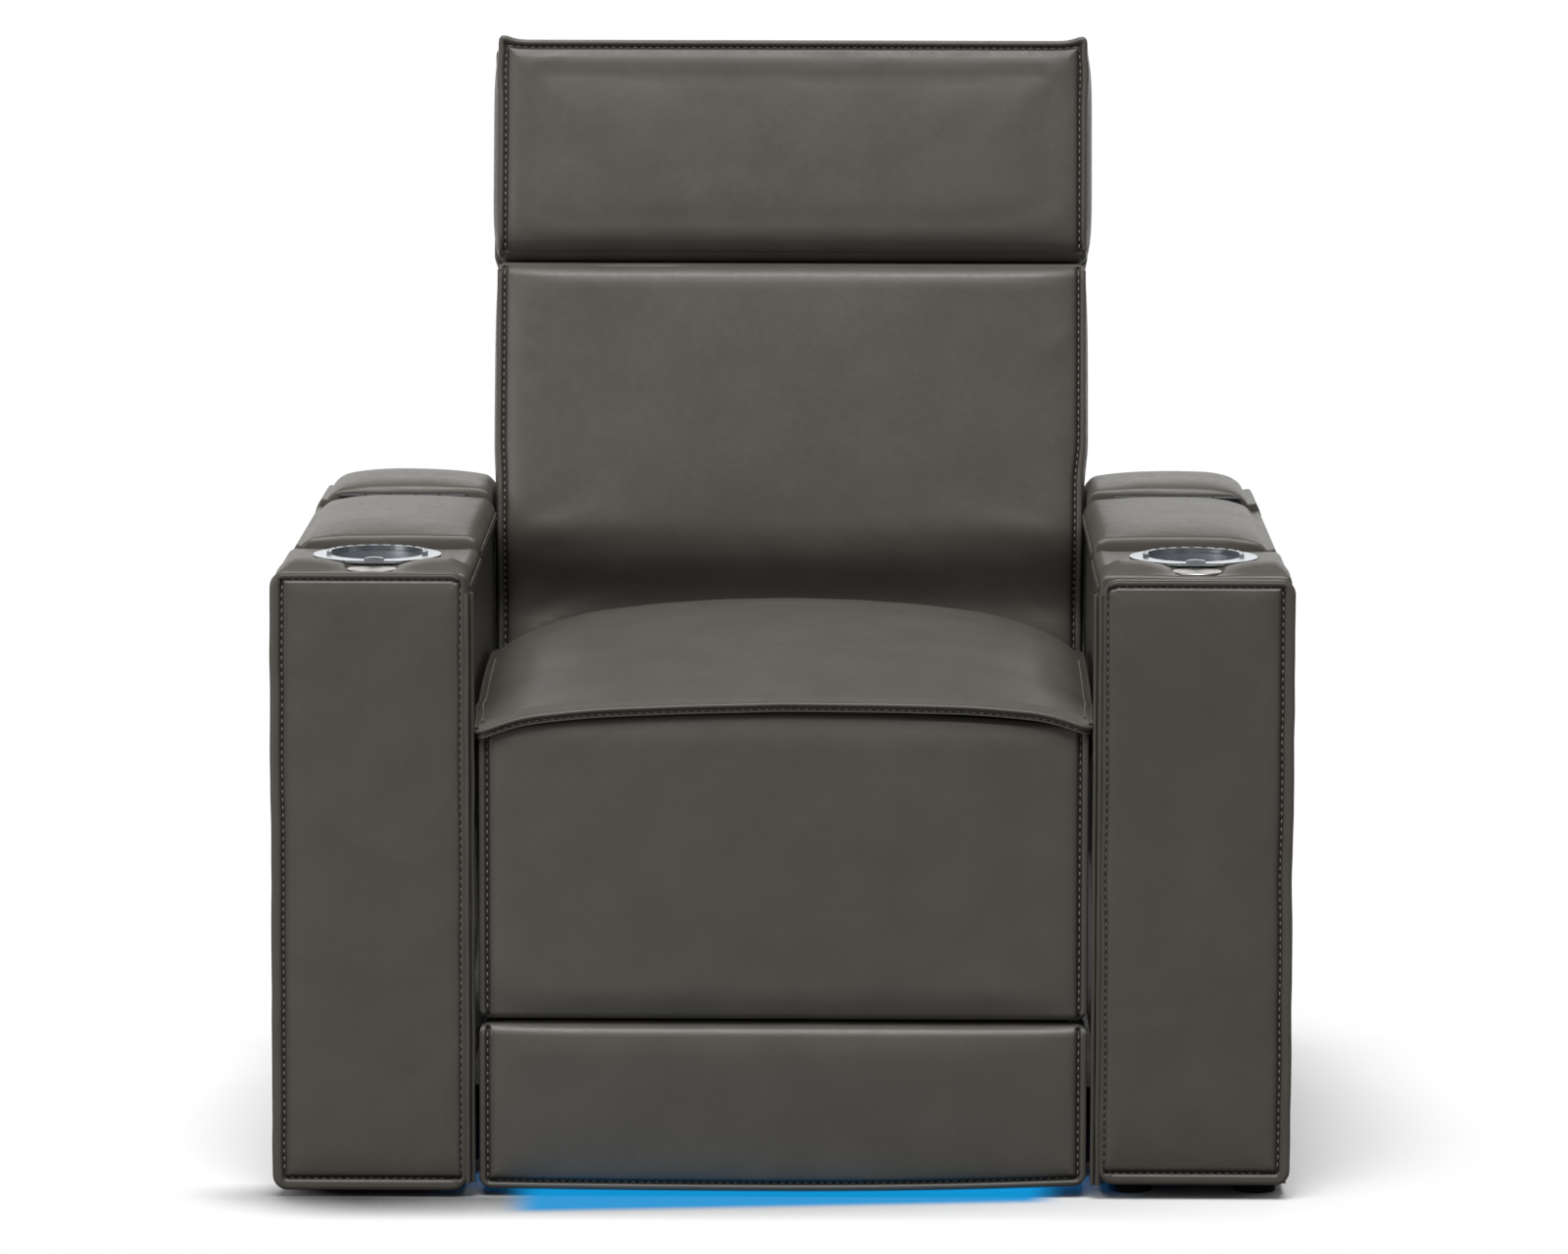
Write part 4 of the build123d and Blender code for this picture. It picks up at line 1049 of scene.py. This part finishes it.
# painted light: inside the pool the floor's colour turns dark blue and the floor itself emits the strip's blue light
painted_pool_colour = add(tree, "Mix", {0: pool, 6: painted_contact_shadow, 7: srgb("#07202e")}, data_type="RGBA")
feed(shader, {"Base Color": painted_pool_colour, "Emission Color": srgb("#0f8ecb"), "Emission Strength": pool, "Roughness": 0.9})
power = add(tree, "MapRange", {"Value": seen, "To Min": 0.3, "To Max": 1.0})
white = add(tree, "Emission", {"Color": (1, 1, 1, 1), "Strength": power})
distance = add(tree, "VectorMath", {0: coords}, operation="LENGTH").outputs["Value"]
fade = add(tree, "MapRange", {"Value": distance, "From Min": SHEET_FADE[0], "From Max": SHEET_FADE[1]}, **SMOOTH)
feed(output, {"Surface": add(tree, "MixShader", {0: fade, 1: shader, 2: white})})
bm = bmesh.new()
bmesh.ops.create_grid(bm, x_segments=8, y_segments=8, size=9.0)
mesh = bpy.data.meshes.new("floor")
bm.to_mesh(mesh)
bm.free()
mesh.materials.append(material)
floor = bpy.data.objects.new("floor", mesh)
bpy.context.scene.collection.objects.link(floor)
print("the sheet fades out between", SHEET_FADE, "m")

# %% [markdown]
# The light is a product photographer's: one broad key from above and in front, a wide panel behind that rims the
# tops, a soft box low on the left that fills the fronts, and a small one high on the right. The world is white to
# the camera and dim to everything else, so the background stays white without lighting the seat.

# %% Light
WORLD_LEVEL = 0.12
KEY_STRENGTH, KEY_SOFTNESS, KEY_DIRECTION = 3.3, math.radians(38), (0.03, 0.38, -0.92)

world = bpy.data.worlds.new("world")
bpy.context.scene.world = world
world.use_nodes = True
tree = world.node_tree
tree.nodes.clear()
path = add(tree, "LightPath", {}).outputs
seen = add(tree, "Math", {0: path["Is Camera Ray"], 1: path["Is Transmission Ray"]}, operation="MAXIMUM")
power = add(tree, "MapRange", {"Value": seen, "To Min": WORLD_LEVEL, "To Max": 1.0})
add(tree, "OutputWorld", {"Surface": add(tree, "Background", {"Color": (1, 1, 1, 1), "Strength": power})})


def lamp(name, kind, power, location, direction):
    data = bpy.data.lights.new(name, kind)
    data.energy = power
    holder = bpy.data.objects.new(name, data)
    holder.location = location
    holder.rotation_euler = Vector(direction).to_track_quat("-Z", "Y").to_euler()
    bpy.context.scene.collection.objects.link(holder)
    return data


def soft_lamp(name, location, target, size, power, colour=(1, 1, 1)):
    data = lamp(name, "AREA", power, location, Vector(target) - Vector(location))
    data.shape = "RECTANGLE"
    data.size, data.size_y = size
    data.color = colour


lamp("key", "SUN", KEY_STRENGTH, (0, 0, 0), KEY_DIRECTION).angle = KEY_SOFTNESS
soft_lamp("backdrop", (0.0, 3.2, 1.5), (0.0, 0.0, 0.8), (5.0, 2.6), 48)
soft_lamp("front_left", (-2.4, -1.7, 1.2), (0.0, 0.0, 0.5), (1.0, 1.6), 23)
soft_lamp("high_right", (1.55, -2.0, 3.5), (0.2, 0.0, 1.0), (0.6, 0.6), 4)
soft_lamp("led_glow", at(0, 130, 14), at(0, -60, 0), (0.5, 0.015), 0.3, (0.02, 0.38, 1.0))
bpy.context.scene.view_settings.view_transform = "Standard"
print("lamps", {l.name: round(l.energy, 1) for l in bpy.data.lights})
